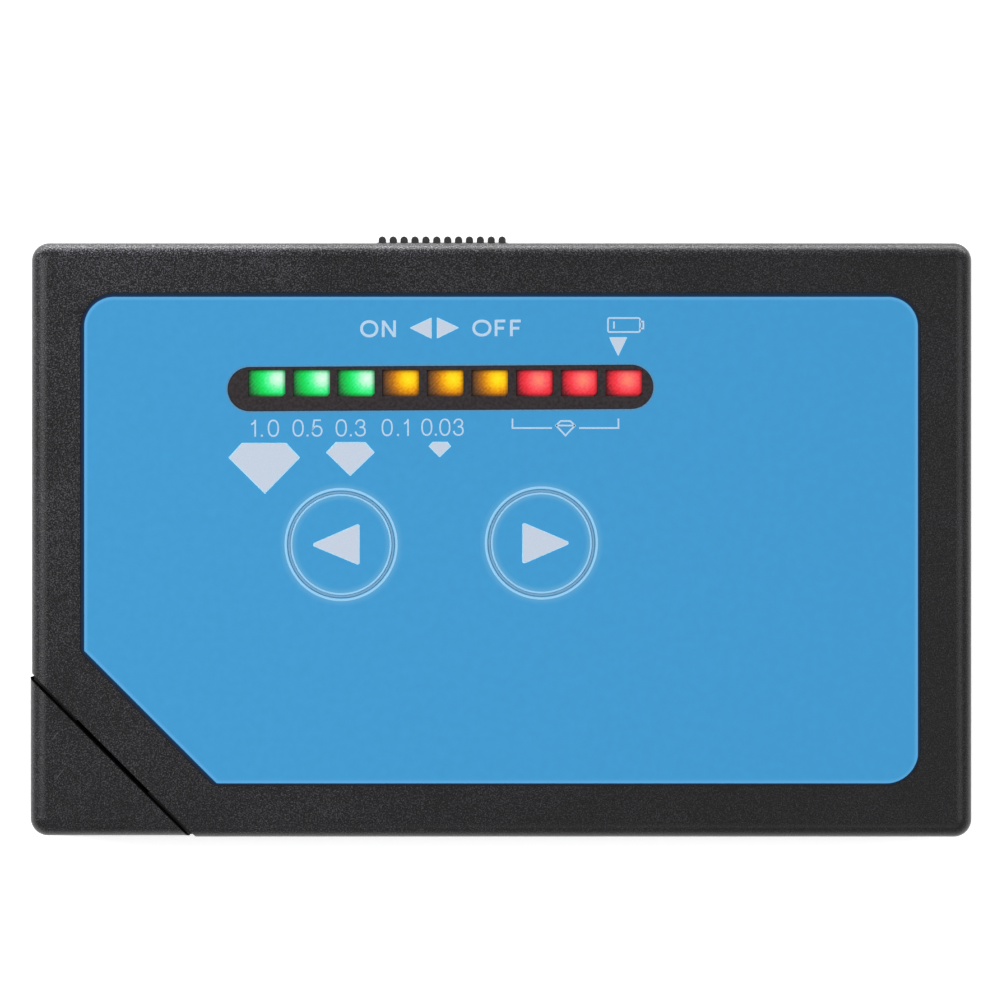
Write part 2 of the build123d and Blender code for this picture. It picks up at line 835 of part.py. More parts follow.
# Insulated leads from the two terminals to the lower edge of the board
def battery_leads():
    leads = []
    height = contact_top - contact_thickness / 2
    pad_z = board_front + lead_radius + lead_pad_gap
    for name, share in zip(cell_y, lead_shares):
        turn_x = tab_end - lead_space * share
        path = FilletPolyline(
            (tab_end, cell_y[name], height), (turn_x, cell_y[name], height),
            (turn_x, board_bottom - lead_run, height), (turn_x, board_bottom, pad_z),
            (turn_x, board_bottom + lead_pad_run, pad_z), radius=lead_bend,
        )
        section = Plane(path @ 0, z_dir=path % 0) * RegularPolygon(lead_radius, wire_sides)
        leads.append(sweep(section, path=path))
    return Compound(children=leads)


def case_screws():
    screws = []
    for x, y in screw_places:
        head_back = case_screw_seat - case_screw_head_height
        head = post(x, y, head_back, case_screw_seat, case_screw_head_radius)
        half = driver_length / 2
        slot = driver_width / 2
        head -= block(x - half, x + half, y - slot, y + slot, head_back, head_back + driver_depth)
        head -= block(x - slot, x + slot, y - half, y + half, head_back, head_back + driver_depth)
        screws.append(head + post(x, y, case_screw_seat, split_height + case_screw_grip, case_screw_radius))
    return Compound(children=screws)


# Flat chip with bent pins along the given sides
def chip(shares, length, width, pin_count, pin_pitch, all_round):
    x, y = on_board(shares)
    body = block(
        x - length / 2, x + length / 2, y - width / 2, y + width / 2,
        board_front + chip_pin_height / 2, board_front + chip_height,
    )
    for number in range(pin_count):
        along = pin_pitch * (number - (pin_count - 1) / 2)
        thin = chip_pin_width / 2
        for side in (-1, 1):
            edge = sorted((y + side * width / 2, y + side * (width / 2 + chip_pin_reach)))
            body += block(
                x + along - thin, x + along + thin, *edge, board_front, board_front + chip_pin_height
            )
            if all_round:
                edge = sorted((x + side * length / 2, x + side * (length / 2 + chip_pin_reach)))
                body += block(
                    *edge, y + along - thin, y + along + thin, board_front, board_front + chip_pin_height
                )
    return body


def chip_resistors():
    first = led_row_x - resistor_pitch * (resistor_count - 1) / 2
    return Compound(children=[
        block(
            first + resistor_pitch * number - resistor_length / 2,
            first + resistor_pitch * number + resistor_length / 2,
            resistor_y - resistor_width / 2, resistor_y + resistor_width / 2,
            board_front, board_front + resistor_height,
        )
        for number in range(resistor_count)
    ])


def crystal():
    outline = SlotOverall(crystal_length, crystal_width)
    return prism(Pos(*on_board(crystal_shares)) * outline, board_front, board_front + crystal_height)


def filter_capacitors():
    cans = []
    first, y = on_board(capacitor_shares)
    for number in range(2):
        x = first + capacitor_pitch * number
        can = post(x, y, back_plate + capacitor_floor_gap, board_back, capacitor_radius)
        cans.append(chamfer(can.faces().sort_by(Axis.Z)[0].edges(), capacitor_edge))
    return Compound(children=cans)


def buzzer():
    x, y = on_board(buzzer_shares)
    low = back_plate + buzzer_floor_gap
    can = post(x, y, low, board_back, buzzer_radius)
    can = chamfer(can.faces().sort_by(Axis.Z)[0].edges(), buzzer_edge)
    return can - post(x, y, low, low + buzzer_hole_depth, buzzer_hole_radius)


# Flat lead from the probe barrel up on to the board
def probe_ribbon():
    low = split_height
    high = board_front + lead_pad_gap
    straight = barrel_end + ribbon_straight
    side = Polyline(
        (barrel_end, low), (straight, low), (ribbon_risen, high), (connector_start, high),
        (connector_start, high + ribbon_thickness), (ribbon_risen, high + ribbon_thickness),
        (straight, low + ribbon_thickness), (barrel_end, low + ribbon_thickness), close=True,
    )
    band = extrude(Plane.XZ * make_face(side), amount=ribbon_width / 2, both=True)
    return corner_frame * band


def probe_connector():
    half = connector_width / 2
    top = board_front + connector_height
    return corner_frame * block(connector_start, connector_end, -half, half, board_front, top)


parts = {
    "front_housing": front_housing(),
    "rear_housing": rear_housing(),
    "face_overlay": face_overlay(),
    "window_strip": window_strip(),
    "led_holder": led_holder(),
    "green_leds": light_bodies(0),
    "amber_leds": light_bodies(led_count // 3),
    "red_leds": light_bodies(2 * (led_count // 3)),
    "circuit_board": circuit_board(),
    "board_screws": board_screws(),
    "microcontroller": chip(
        controller_shares, chip_side, chip_side, chip_pin_count, chip_pin_pitch, True
    ),
    "amplifier_chip": chip(
        amplifier_shares, amplifier_length, amplifier_width, amplifier_pin_count, amplifier_pin_pitch, False
    ),
    "chip_resistors": chip_resistors(),
    "crystal": crystal(),
    "filter_capacitors": filter_capacitors(),
    "buzzer": buzzer(),
    "power_switch_body": power_switch_body(),
    "power_switch_lever": power_switch_lever(),
    "power_switch_knob": power_switch_knob(),
    "probe_holder": probe_holder(),
    "probe_sleeve": probe_sleeve(),
    "probe_tip": probe_tip(),
    "probe_heater": probe_heater(),
    "probe_spring": probe_spring(),
    "probe_ribbon": probe_ribbon(),
    "probe_connector": probe_connector(),
    "probe_cap": probe_cap(),
    "battery_door": battery_door(),
    "battery_cell_upper": battery_cell_upper(),
    "battery_cell_lower": battery_cell_lower(),
    "positive_terminal": terminal(cell_y["upper"]),
    "negative_terminal": terminal(cell_y["lower"]),
    "bridge_contact": bridge_contact(),
    "contact_springs": contact_springs(),
    "battery_leads": battery_leads(),
    "case_screws": case_screws(),
}
for side, place in key_places.items():
    parts[side + "_button"] = key_cap(*place)
    parts[side + "_switch_body"] = key_switch_body(*place)
    parts[side + "_switch_plunger"] = key_switch_plunger(*place)

os.makedirs("parts", exist_ok=True)
for name, shape in parts.items():
    export_step(shape, f"parts/{name}.step")
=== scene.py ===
import bpy
import math
import numpy as np
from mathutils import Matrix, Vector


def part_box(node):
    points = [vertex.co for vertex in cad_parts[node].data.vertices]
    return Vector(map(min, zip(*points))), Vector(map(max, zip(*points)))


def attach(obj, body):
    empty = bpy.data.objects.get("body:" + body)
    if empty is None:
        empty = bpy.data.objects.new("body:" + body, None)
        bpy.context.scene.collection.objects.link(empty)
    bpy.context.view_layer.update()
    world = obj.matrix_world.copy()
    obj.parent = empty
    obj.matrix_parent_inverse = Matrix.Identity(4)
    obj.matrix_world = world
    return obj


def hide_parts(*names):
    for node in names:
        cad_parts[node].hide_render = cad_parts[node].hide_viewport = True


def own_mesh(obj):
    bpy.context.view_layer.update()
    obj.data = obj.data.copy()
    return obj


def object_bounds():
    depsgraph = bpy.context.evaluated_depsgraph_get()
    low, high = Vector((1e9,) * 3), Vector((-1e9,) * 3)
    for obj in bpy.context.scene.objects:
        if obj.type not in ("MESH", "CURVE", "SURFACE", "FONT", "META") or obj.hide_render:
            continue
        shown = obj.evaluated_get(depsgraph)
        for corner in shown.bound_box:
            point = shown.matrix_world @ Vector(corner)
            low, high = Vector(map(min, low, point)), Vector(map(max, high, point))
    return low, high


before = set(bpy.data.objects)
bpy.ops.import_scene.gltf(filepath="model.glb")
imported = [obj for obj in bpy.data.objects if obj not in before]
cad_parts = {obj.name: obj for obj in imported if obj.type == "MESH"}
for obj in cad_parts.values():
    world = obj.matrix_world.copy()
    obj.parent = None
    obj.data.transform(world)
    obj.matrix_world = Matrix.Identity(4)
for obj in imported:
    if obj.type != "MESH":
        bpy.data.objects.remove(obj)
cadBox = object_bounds()
millimetre = 0.001
slanted = math.sqrt(0.5)  # x and y of a step of one along a 45 degree slant

# The photograph looks straight down; its pixels give the places of the print
photo = {
    "pixel": 0.11375 * millimetre,  # one pixel at the front face
    "column": 501.6,  # pixel column and row over the frame's origin
    "row": 540.0,
    "width": 1000,
}


def fromPhoto(column, row):  # pixel place to metres, seen straight down
    x = (np.asarray(column, float) - photo["column"]) * photo["pixel"]
    y = (photo["row"] - np.asarray(row, float)) * photo["pixel"]
    return np.stack([x, y], axis=-1)


def middleOf(node):
    low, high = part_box(node)
    return (low + high) / 2


def pointsOf(node):
    return np.array([vertex.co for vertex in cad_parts[node].data.vertices])


# Helpers for the materials: most add a node or two and return the output
def newMaterial(name):
    material = bpy.data.materials.new(name)
    material.use_nodes = True
    tree = material.node_tree
    return material, tree, tree.nodes["Principled BSDF"]


def fill(tree, node, values):  # each input is linked to a socket or set to a value
    for key, value in values.items():
        if isinstance(value, bpy.types.NodeSocket):
            tree.links.new(value, node.inputs[key])
        else:
            node.inputs[key].default_value = value


def addNode(tree, kind, values, **settings):
    node = tree.nodes.new(kind)
    for key, value in settings.items():
        setattr(node, key, value)
    fill(tree, node, values)
    return node


def linear(red, green, blue):  # screen colour, 0 to 255, to the linear value that a shader takes
    screen = np.array([red, green, blue]) / 255
    value = np.where(screen <= 0.04045, screen / 12.92, ((screen + 0.055) / 1.055) ** 2.4)
    return (*value.tolist(), 1.0)


def place(tree):
    return addNode(tree, "ShaderNodeTexCoord", {}).outputs["Object"]


def calc(tree, operation, first, second=0.0, third=0.0):
    return addNode(tree, "ShaderNodeMath", {0: first, 1: second, 2: third}, operation=operation).outputs[0]


def minus(tree, first, second):
    return calc(tree, "SUBTRACT", first, second)


def times(tree, first, second):
    return calc(tree, "MULTIPLY", first, second)


noiseRange = (0.3, 0.7)  # where nearly all values of the noise lie
fineDetail = 3.0  # more than the noise has otherwise, for plain finishes and most mottles


def noise(tree, size, detail=2.0, stretch=(1.0, 1.0, 1.0)):  # noise whose grains are about size across
    spread = addNode(tree, "ShaderNodeMapping", {"Vector": place(tree), "Scale": stretch})
    return addNode(
        tree, "ShaderNodeTexNoise", {"Vector": spread.outputs[0], "Scale": 1 / size, "Detail": detail}
    ).outputs[0]


def span(tree, value, low, high, lowResult=0.0, highResult=1.0):  # smooth step from low to high
    return addNode(
        tree, "ShaderNodeMapRange",
        {"Value": value, "From Min": low, "From Max": high, "To Min": lowResult, "To Max": highResult},
        interpolation_type="SMOOTHSTEP",
    ).outputs[0]


def mixColour(tree, factor, first, second):  # sockets 6 and 7 in and 2 out are the ones for colours
    return addNode(tree, "ShaderNodeMix", {0: factor, 6: first, 7: second}, data_type="RGBA").outputs[2]


def ramp(tree, factor, stops):  # colour ramp from (position, colour) pairs
    node = addNode(tree, "ShaderNodeValToRGB", {"Fac": factor})
    stopList = node.color_ramp.elements
    while len(stopList) < len(stops):
        stopList.new(1.0)
    for stop, (position, colour) in zip(stopList, stops):
        stop.position = position
        stop.color = colour
    return node.outputs[0]


def shaded(tree, lightness, colour):
    return addNode(tree, "ShaderNodeHueSaturation", {"Value": lightness, "Color": colour}).outputs[0]


def bump(tree, height, depth):
    return addNode(tree, "ShaderNodeBump", {"Height": height, "Distance": depth}).outputs[0]


def finishSurface(tree, shader, colour, grain, roughness, relief, others):  # how most of the materials end
    rough, normal = span(tree, grain, *noiseRange, *roughness), bump(tree, grain, relief)
    fill(tree, shader, {"Base Color": colour, "Roughness": rough, "Normal": normal, **others})


def axes(tree):
    return addNode(tree, "ShaderNodeSeparateXYZ", {"Vector": place(tree)}).outputs


def weighted(tree, first, firstWeight, second, secondWeight):  # first * its weight + second * its weight
    return calc(tree, "MULTIPLY_ADD", first, firstWeight, times(tree, second, secondWeight))


def lengthOf(tree, across, along):
    return calc(tree, "SQRT", weighted(tree, across, across, along, along))


def fromPoint(tree, point):  # x and y from a point in the plane of the face
    return [minus(tree, part, float(start)) for part, start in zip(axes(tree), point)]


# Black moulding of the case: fine spark-eroded grain whose pale specks thin out to the right and below as
# painted light falling from the left and above, a shinier front edge, and painted shade on the walls and
# edges of the corner's seam
casePlastic = {
    "dark": linear(10, 10, 11),
    "light": linear(96, 94, 102),
    "specks": (0.48, 0.74),  # the part of the grain that shows as pale specks
    "speckLight": (1.0, 0.35),  # painted light: how pale the specks are at the left end, where the light falls, and at the right
    "speckLightBelow": 0.6,  # painted light too: how pale they are at the lower side, as a share of that at the upper
    "grainSize": 0.145 * millimetre,
    "grainDepth": 0.028 * millimetre,
    "patchSize": 9 * millimetre,
    "patchShare": 0.1,  # how much of the specks follows the patches
    "roughness": (0.23, 0.36),
    "specular": 0.19,
    "edgeSpecular": 0.32,  # the steep part of the round front edge is rubbed shinier
    "edge": (2.1, 1.7, 0.75, 0.2),  # millimetres below the front: it starts, is full, fades and ends
    "seam": (12.7, 13.225),  # millimetres from the corner: the walls and edges of the seam, painted dark as shade
    "seamFade": 0.01,
    "seamShade": linear(11, 11, 11),
}
scratches = {  # on the corner cap
    "ends": [([52.5, 58.5], [739.5, 731.5]), ([56.5, 64.5], [778.0, 768.5])],  # pixel columns and rows
    "width": 0.08 * millimetre,
    "colour": linear(130, 130, 132),
    "strength": 0.3,
}


def scratchMask(tree, start, end, width):  # 1 on the line from start to end, faded at both ends
    direction = end - start
    length = float(np.linalg.norm(direction))
    x, y = (direction / length).tolist()
    across, along = fromPoint(tree, start)
    off = calc(tree, "ABSOLUTE", weighted(tree, across, y, along, -x))
    run = weighted(tree, across, x, along, y)
    mask = times(tree, span(tree, off, 0.0, width, 1.0, 0.0), span(tree, run, 0.0, width))
    return times(tree, mask, span(tree, run, length - width, length, 1.0, 0.0))


def casePlasticMaterial(name, values, marks=()):
    material, tree, shader = newMaterial(name)
    grain = noise(tree, values["grainSize"])
    patches = noise(tree, values["patchSize"])
    speckle = weighted(tree, patches, values["patchShare"], grain, 1 - values["patchShare"])
    low, high = cadBox
    parts = axes(tree)
    # Painted light: the pale specks are brightest to the left and above, where the light falls, and fade to
    # the right and below
    speckLit = span(tree, parts[0], low.x, high.x, *values["speckLight"])
    speckLit = times(tree, speckLit, span(tree, parts[1], low.y, high.y, values["speckLightBelow"]))
    speckle = times(tree, span(tree, speckle, *values["specks"]), speckLit)
    colour = mixColour(tree, speckle, values["dark"], values["light"])
    # Painted shade: the walls and edges of the seam are darkened and lose their sheen
    start, end = (value * millimetre for value in values["seam"])
    fromCorner = minus(tree, calc(tree, "ADD", parts[0], parts[1]), low.x + low.y)
    off = calc(tree, "MULTIPLY_ADD", fromCorner, slanted, -(start + end) / 2)
    half = (end - start) / 2
    inSeamShade = span(tree, calc(tree, "ABSOLUTE", off), half - values["seamFade"] * millimetre, half, 1.0, 0.0)
    colour = mixColour(tree, inSeamShade, colour, values["seamShade"])
    for columns, rows in marks:
        mask = scratchMask(tree, *fromPhoto(columns, rows), scratches["width"])
        mask = times(tree, mask, scratches["strength"])
        colour = mixColour(tree, mask, colour, scratches["colour"])
    begin, full, fade, end = (front - depth * millimetre for depth in values["edge"])
    onEdge = times(tree, span(tree, parts[2], begin, full), span(tree, parts[2], fade, end, 1.0, 0.0))
    more = values["edgeSpecular"] - values["specular"]
    specular = calc(tree, "MULTIPLY_ADD", onEdge, more, values["specular"])
    specular = times(tree, specular, minus(tree, 1.0, inSeamShade))
    others = {"Specular IOR Level": specular}
    finishSurface(tree, shader, colour, grain, values["roughness"], values["grainDepth"], others)
    return material


# Printed blue film: satin, faintly mottled, with a painted highlight along its cut rim and round the raised
# keys, and painted shadow along its cut edge
film = {
    "base": linear(64, 153, 207),
    # Colour of the painted highlight along the film's cut rim
    "rim": linear(94, 172, 224),
    "rimWidth": 0.38 * millimetre,
    "rimFade": (0.35, 1.3),  # times the rim's width: where the paler rim starts to fade and where it ends
    "rimStrength": 0.8,
    # Navy of the film's cut edge, made wider on the left and top as painted shadow of the recess
    "cut": linear(14, 48, 84),
    "cutWidth": {"left": 0.2, "right": 0.06, "bottom": 0.01, "top": 0.24},  # millimetres
    "cutFade": (-0.04, 0.05),  # millimetres in from the cut
    "cornerRadius": 3.4 * millimetre,
    # Painted highlight on the raised slope round each key: its pale colour, which the keys also pale to at
    # their rims
    "glow": linear(104, 170, 210),
    "glowReach": (0.0, 0.4, 0.5, 1.4),  # millimetres out from a key: it starts, is full, fades and ends
    "glowStrength": 0.6,
    "keyRim": (0.84, 0.97),  # share of a key's radius from and to which it pales
    "keyRimStrength": 0.7,
    "shoulder": linear(96, 140, 174),
    "shoulderFade": 0.1 * millimetre,
    "mottle": 0.9 * millimetre,
    "mottleStrength": 0.1,
    "grain": 0.16 * millimetre,
    "grainDepth": 0.003 * millimetre,
    "roughness": (0.46, 0.56),
    "specular": 0.1,
}


def filmBase(tree, values):
    mottle = minus(tree, noise(tree, values["mottle"], fineDetail), 0.5)
    return shaded(tree, calc(tree, "MULTIPLY_ADD", mottle, values["mottleStrength"], 1.0), values["base"])


def finishFilm(tree, shader, values, colour):
    finishSurface(
        tree, shader, colour, noise(tree, values["grain"]), values["roughness"], values["grainDepth"],
        {"Specular IOR Level": values["specular"]},
    )


def overlayMaterial(name, values, keys):
    material, tree, shader = newMaterial(name)
    colour, parts = filmBase(tree, values), axes(tree)
    low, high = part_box("face_overlay")
    cut = {side: width * millimetre for side, width in values["cutWidth"].items()}
    radius = values["cornerRadius"]
    edges = [(low.x + cut["left"], high.x - cut["right"]), (low.y + cut["bottom"], high.y - cut["top"])]
    over = []  # how far each direction is past the start of the round corners
    for axis, (start, end) in enumerate(edges):
        off = calc(tree, "ABSOLUTE", minus(tree, parts[axis], (start + end) / 2))
        over.append(minus(tree, off, (end - start) / 2 - radius))
    outside = [calc(tree, "MAXIMUM", value, 0.0) for value in over]
    inner = calc(tree, "MINIMUM", calc(tree, "MAXIMUM", *over), 0.0)
    inset = minus(tree, radius, calc(tree, "ADD", lengthOf(tree, *outside), inner))
    slant = minus(tree, calc(tree, "ADD", parts[0], parts[1]), slantedSum)
    slant = calc(tree, "MULTIPLY_ADD", slant, slanted, -cut["left"])
    inset = calc(tree, "MINIMUM", inset, slant)
    # Painted highlight: the film is paler along its rim
    fadeStart, fadeEnd = (share * values["rimWidth"] for share in values["rimFade"])
    rim = span(tree, inset, fadeStart, fadeEnd, values["rimStrength"], 0.0)
    colour = mixColour(tree, rim, colour, values["rim"])
    # The film's cut edge in navy, with painted shadow where it is wider
    fadeStart, fadeEnd = (value * millimetre for value in values["cutFade"])
    colour = mixColour(tree, span(tree, inset, fadeStart, fadeEnd, 1.0, 0.0), colour, values["cut"])
    # Painted highlight round each raised key
    start, full, fade, end = (keys["radius"] + value * millimetre for value in values["glowReach"])
    for centre in keys["centres"]:
        away = lengthOf(tree, *fromPoint(tree, centre.xy))
        glow = span(tree, away, fade, end, values["glowStrength"], 0.0)
        glow = times(tree, span(tree, away, start, full), glow)
        colour = mixColour(tree, glow, colour, values["glow"])
    finishFilm(tree, shader, values, colour)
    return material


def keyMaterial(name, values, keys, centre):
    material, tree, shader = newMaterial(name)
    away = lengthOf(tree, *fromPoint(tree, centre.xy))
    start, end = (share * keys["radius"] for share in values["keyRim"])
    rim = span(tree, away, start, end, 0.0, values["keyRimStrength"])
    colour = mixColour(tree, rim, filmBase(tree, values), values["glow"])
    shoulder = keys["shoulder"]
    lowered = span(tree, axes(tree)[2], shoulder, shoulder + values["shoulderFade"], 1.0, 0.0)
    colour = mixColour(tree, lowered, colour, values["shoulder"])
    finishFilm(tree, shader, values, colour)
    return material


# The film's slanted lower left edge runs where x + y is constant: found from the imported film's own corners
filmPoints = pointsOf("face_overlay")
slantedSum = float((filmPoints[:, 0] + filmPoints[:, 1]).min())


# Lit windows: a hot spot above the middle and right of it, fading away from it, with painted shade along the
# rim where the window sits low
lights = {
    "each": 3,  # windows of each colour
    "groove": 0.34 * millimetre,  # pitch of the fine slanted grooves inside each lens
    "grooveRelief": 0.004 * millimetre,
    "grooveDepth": (0.03, 0.01 * millimetre),  # how far they move the colours: more away from the spot
    "mottle": 0.3 * millimetre,
    "mottleDepth": 0.9 * millimetre,
    "rim": (-0.1 * millimetre, 0.42 * millimetre, 0.38),  # painted shade: it darkens from and to this far in, and to this
    "lens": {
        "Base Color": (0.003, 0.003, 0.003, 1.0), "Roughness": 0.4, "Specular IOR Level": 0.03,
        "Emission Strength": 1.0,
    },
    "green": {
        "spot": (1.25, 0.5), "reach": 3.45,  # millimetres
        "stops": (
            (0.0, (228, 254, 240)), (0.2, (180, 253, 208)), (0.3, (120, 251, 172)), (0.42, (62, 246, 138)),
            (0.6, (22, 222, 92)), (0.75, (26, 192, 78)), (0.88, (36, 146, 70)), (1.0, (42, 104, 58)),
        ),
    },
    "amber": {
        "spot": (0.9, 0.45), "reach": 3.0,
        "stops": (
            (0.0, (254, 234, 32)), (0.2, (254, 213, 22)), (0.32, (252, 190, 14)), (0.42, (240, 162, 14)),
            (0.6, (190, 116, 22)), (0.78, (138, 86, 34)), (0.9, (108, 70, 40)), (1.0, (84, 60, 44)),
        ),
    },
    "red": {
        "spot": (0.45, 0.35), "reach": 2.6,
        "stops": (
            (0.0, (254, 136, 108)), (0.2, (253, 118, 104)), (0.35, (252, 94, 98)), (0.55, (247, 60, 72)),
            (0.72, (226, 46, 58)), (0.85, (178, 38, 50)), (1.0, (112, 34, 42)),
        ),
    },
}


def lightMaterial(name, node, values):
    material, tree, shader = newMaterial(name)
    low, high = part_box(node)
    pitch = (high.x - low.x - lightWidth) / (lights["each"] - 1)
    halves = (lightWidth / 2, (high.y - low.y) / 2)
    parts = axes(tree)
    across = minus(tree, parts[0], low.x + halves[0] - pitch / 2)
    local = [
        minus(tree, calc(tree, "MODULO", across, pitch), pitch / 2),
        minus(tree, parts[1], low.y + halves[1]),
    ]
    off = [minus(tree, part, start * millimetre) for part, start in zip(local, values["spot"])]
    away = lengthOf(tree, *off)
    slope = minus(tree, *local)
    wave = 2 * math.pi / (lights["groove"] * math.sqrt(2))
    groove = calc(tree, "SINE", times(tree, slope, wave))
    mottle = minus(tree, noise(tree, lights["mottle"]), 0.5)
    depth = calc(tree, "MULTIPLY_ADD", away, *lights["grooveDepth"])
    away = calc(tree, "MULTIPLY_ADD", groove, depth, away)
    away = calc(tree, "MULTIPLY_ADD", mottle, lights["mottleDepth"], away)
    factor = calc(tree, "DIVIDE", away, values["reach"] * millimetre)
    colour = ramp(tree, factor, [(position, linear(*value)) for position, value in values["stops"]])
    # Painted shade along the rim of each window
    insets = [minus(tree, half, calc(tree, "ABSOLUTE", part)) for half, part in zip(halves, local)]
    rimShades = [span(tree, inset, *lights["rim"]) for inset in insets]
    colour = shaded(tree, times(tree, *rimShades), colour)
    relief = bump(tree, groove, lights["grooveRelief"])
    fill(tree, shader, {"Emission Color": colour, "Normal": relief, **lights["lens"]})
    return material


# Plain finishes, mottled by noise: darker and paler colour, size of the grain and its relief in millimetres,
# roughness from and to, metal or not, and specular level
finishes = {
    "knobPlastic": ((20, 20, 22), (34, 34, 36), 0.4, 0.01, (0.38, 0.5), 0.0, 0.4),
    "smokedStrip": ((30, 23, 26), (46, 39, 42), 0.35, 0.004, (0.3, 0.42), 0.0, 0.2),
    "holderBlack": ((16, 16, 17), (26, 26, 27), 0.5, 0.01, (0.6, 0.75), 0.0, 0.2),
    "holderWhite": ((208, 204, 194), (222, 219, 211), 1.2, 0.01, (0.45, 0.6), 0.0, 0.4),
    "chipBlack": ((32, 32, 34), (46, 46, 48), 0.2, 0.006, (0.5, 0.7), 0.0, 0.4),
    "drawnCan": ((196, 197, 200), (216, 217, 220), 1.0, 0.002, (0.25, 0.4), 1.0, 0.5),
    "zincSteel": ((176, 178, 176), (206, 207, 204), 0.6, 0.003, (0.28, 0.45), 1.0, 0.5),
    "springSteel": ((196, 192, 184), (222, 219, 211), 0.5, 0.002, (0.2, 0.35), 1.0, 0.5),
    "sleeveMetal": ((190, 184, 170), (218, 214, 203), 0.5, 0.002, (0.18, 0.3), 1.0, 0.5),
    "tipCopper": ((186, 116, 84), (214, 146, 110), 0.4, 0.002, (0.2, 0.35), 1.0, 0.5),
    "leadRed": ((150, 22, 22), (176, 34, 32), 1.0, 0.004, (0.35, 0.5), 0.0, 0.4),
}


def plainMaterial(name):
    dark, light, size, depth, roughness, metal, specular = finishes[name]
    material, tree, shader = newMaterial(name)
    grain = noise(tree, size * millimetre, fineDetail)
    colour = mixColour(tree, span(tree, grain, *noiseRange), linear(*dark), linear(*light))
    others = {"Metallic": metal, "Specular IOR Level": specular}
    finishSurface(tree, shader, colour, grain, roughness, depth * millimetre, others)
    return material


# Board: green mask over copper tracks that run both ways
board = {
    "pitch": 2.2 * millimetre,
    "unevenness": 0.85,
    "trackEdge": (0.05, 0.09),  # share of the pitch, from the middle of a track
    "trackHeight": 0.03 * millimetre,
    "track": linear(44, 128, 78),
    "mask": (linear(18, 88, 50), linear(24, 102, 60)),
    "mottle": 4 * millimetre,
    "roughness": (0.28, 0.4),
}


def boardMaterial(name, values):
    material, tree, shader = newMaterial(name)
    cells = addNode(
        tree, "ShaderNodeTexVoronoi",
        {"Vector": place(tree), "Scale": 1 / values["pitch"], "Randomness": values["unevenness"]},
        feature="DISTANCE_TO_EDGE", distance="CHEBYCHEV",
    ).outputs[0]
    track = span(tree, cells, *values["trackEdge"], 1.0, 0.0)
    mottle = noise(tree, values["mottle"], fineDetail)
    colour = mixColour(tree, track, mixColour(tree, mottle, *values["mask"]), values["track"])
    rough = span(tree, mottle, *noiseRange, *values["roughness"])
    relief = bump(tree, track, values["trackHeight"])
    fill(tree, shader, {"Base Color": colour, "Roughness": rough, "Normal": relief})
    return material


# Cell wrap: plain grey sleeve with a copper-coloured shoulder at the raised end and bare steel ends
wrap = {
    "shoulder": linear(176, 120, 74),
    "body": (linear(52, 56, 62), linear(64, 68, 74)),
    "steel": linear(196, 196, 194),
    "shoulderEnd": (0.24, 0.244),  # shares of the cell's length from its raised end
    "raisedEnd": (0.028, 0.032),
    "flatEnd": (0.985, 0.99),
    "mottle": 0.8 * millimetre,
    "stretch": (0.2, 1.0, 1.0),  # the mottle runs along the cell
    "relief": 0.004 * millimetre,
    "roughness": (0.25, 0.38),
}


def cellMaterial(name, node, raisedRight, values):
    material, tree, shader = newMaterial(name)
    low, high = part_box(node)
    share = calc(tree, "DIVIDE", minus(tree, axes(tree)[0], low.x), high.x - low.x)
    if raisedRight:
        share = minus(tree, 1.0, share)
    mottle = noise(tree, values["mottle"], fineDetail, values["stretch"])
    shoulder = span(tree, share, *values["shoulderEnd"], 1.0, 0.0)
    colour = mixColour(tree, shoulder, mixColour(tree, mottle, *values["body"]), values["shoulder"])
    raised, flat = span(tree, share, *values["raisedEnd"], 1.0, 0.0), span(tree, share, *values["flatEnd"])
    bare = calc(tree, "MAXIMUM", raised, flat)
    colour = mixColour(tree, bare, colour, values["steel"])
    finishSurface(tree, shader, colour, mottle, values["roughness"], values["relief"], {"Metallic": bare})
    return material


# Print ink: pale grey-blue, with the fine dots of a screen print
ink = {
    "colours": {
        "inkFill": (linear(193, 205, 221), linear(198, 210, 226)),
        "inkEdge": (linear(160, 218, 248), linear(176, 228, 252)),
        "inkLine": (linear(146, 203, 240), linear(152, 208, 244)),
        "inkBand": (linear(112, 162, 198), linear(120, 168, 204)),
        "inkLettering": (linear(176, 206, 230), linear(186, 214, 236)),
    },
    "dotSize": 0.14 * millimetre,
    "dotRange": (0.35, 0.65),
    "roughness": (0.45, 0.6),
    "relief": 0.004 * millimetre,
    "specular": 0.1,
    "thickness": 0.02 * millimetre,
    "layerStep": 0.15,  # of the thickness: how much higher each next stroke of a letter stands
    "patchSpread": (0.5, 0.985, 1.0, 1.0, 0.5),  # shares of the way from a patch's middle to its outline
    "patchHeight": (1.0, 1.0, 0.6, 0.0, 0.0),  # and of its thickness
    "lineAcross": (0.5, 0.44, -0.44, -0.5),  # shares of a line's width
    "lineHeight": (0.0, 1.0, 1.0, 0.0),
    "sharpest": 0.3,  # keeps a line's outer corner from running out to a spike
}


def inkMaterial(name, pair):
    material, tree, shader = newMaterial(name)
    dots = noise(tree, ink["dotSize"])
    colour = mixColour(tree, span(tree, dots, *ink["dotRange"]), *pair)
    others = {"Specular IOR Level": ink["specular"]}
    finishSurface(tree, shader, colour, dots, ink["roughness"], ink["relief"], others)
    return material


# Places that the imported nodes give, and the round face of a key
lowLight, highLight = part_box("green_leds")
caseLow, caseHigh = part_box("front_housing")
cadCorner = caseLow.x, caseLow.y
front = caseHigh.z
lightPitch = (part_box("amber_leds")[0].x - lowLight.x) / lights["each"]
lightWidth = (highLight.x - lowLight.x) - (lights["each"] - 1) * lightPitch
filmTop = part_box("face_overlay")[1].z
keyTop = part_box("left_button")[1].z
keyFace = {
    "centres": [middleOf("left_button"), middleOf("right_button")],
    "radius": 5.78 * millimetre,
    "shoulder": filmTop - 0.6 * millimetre,
}

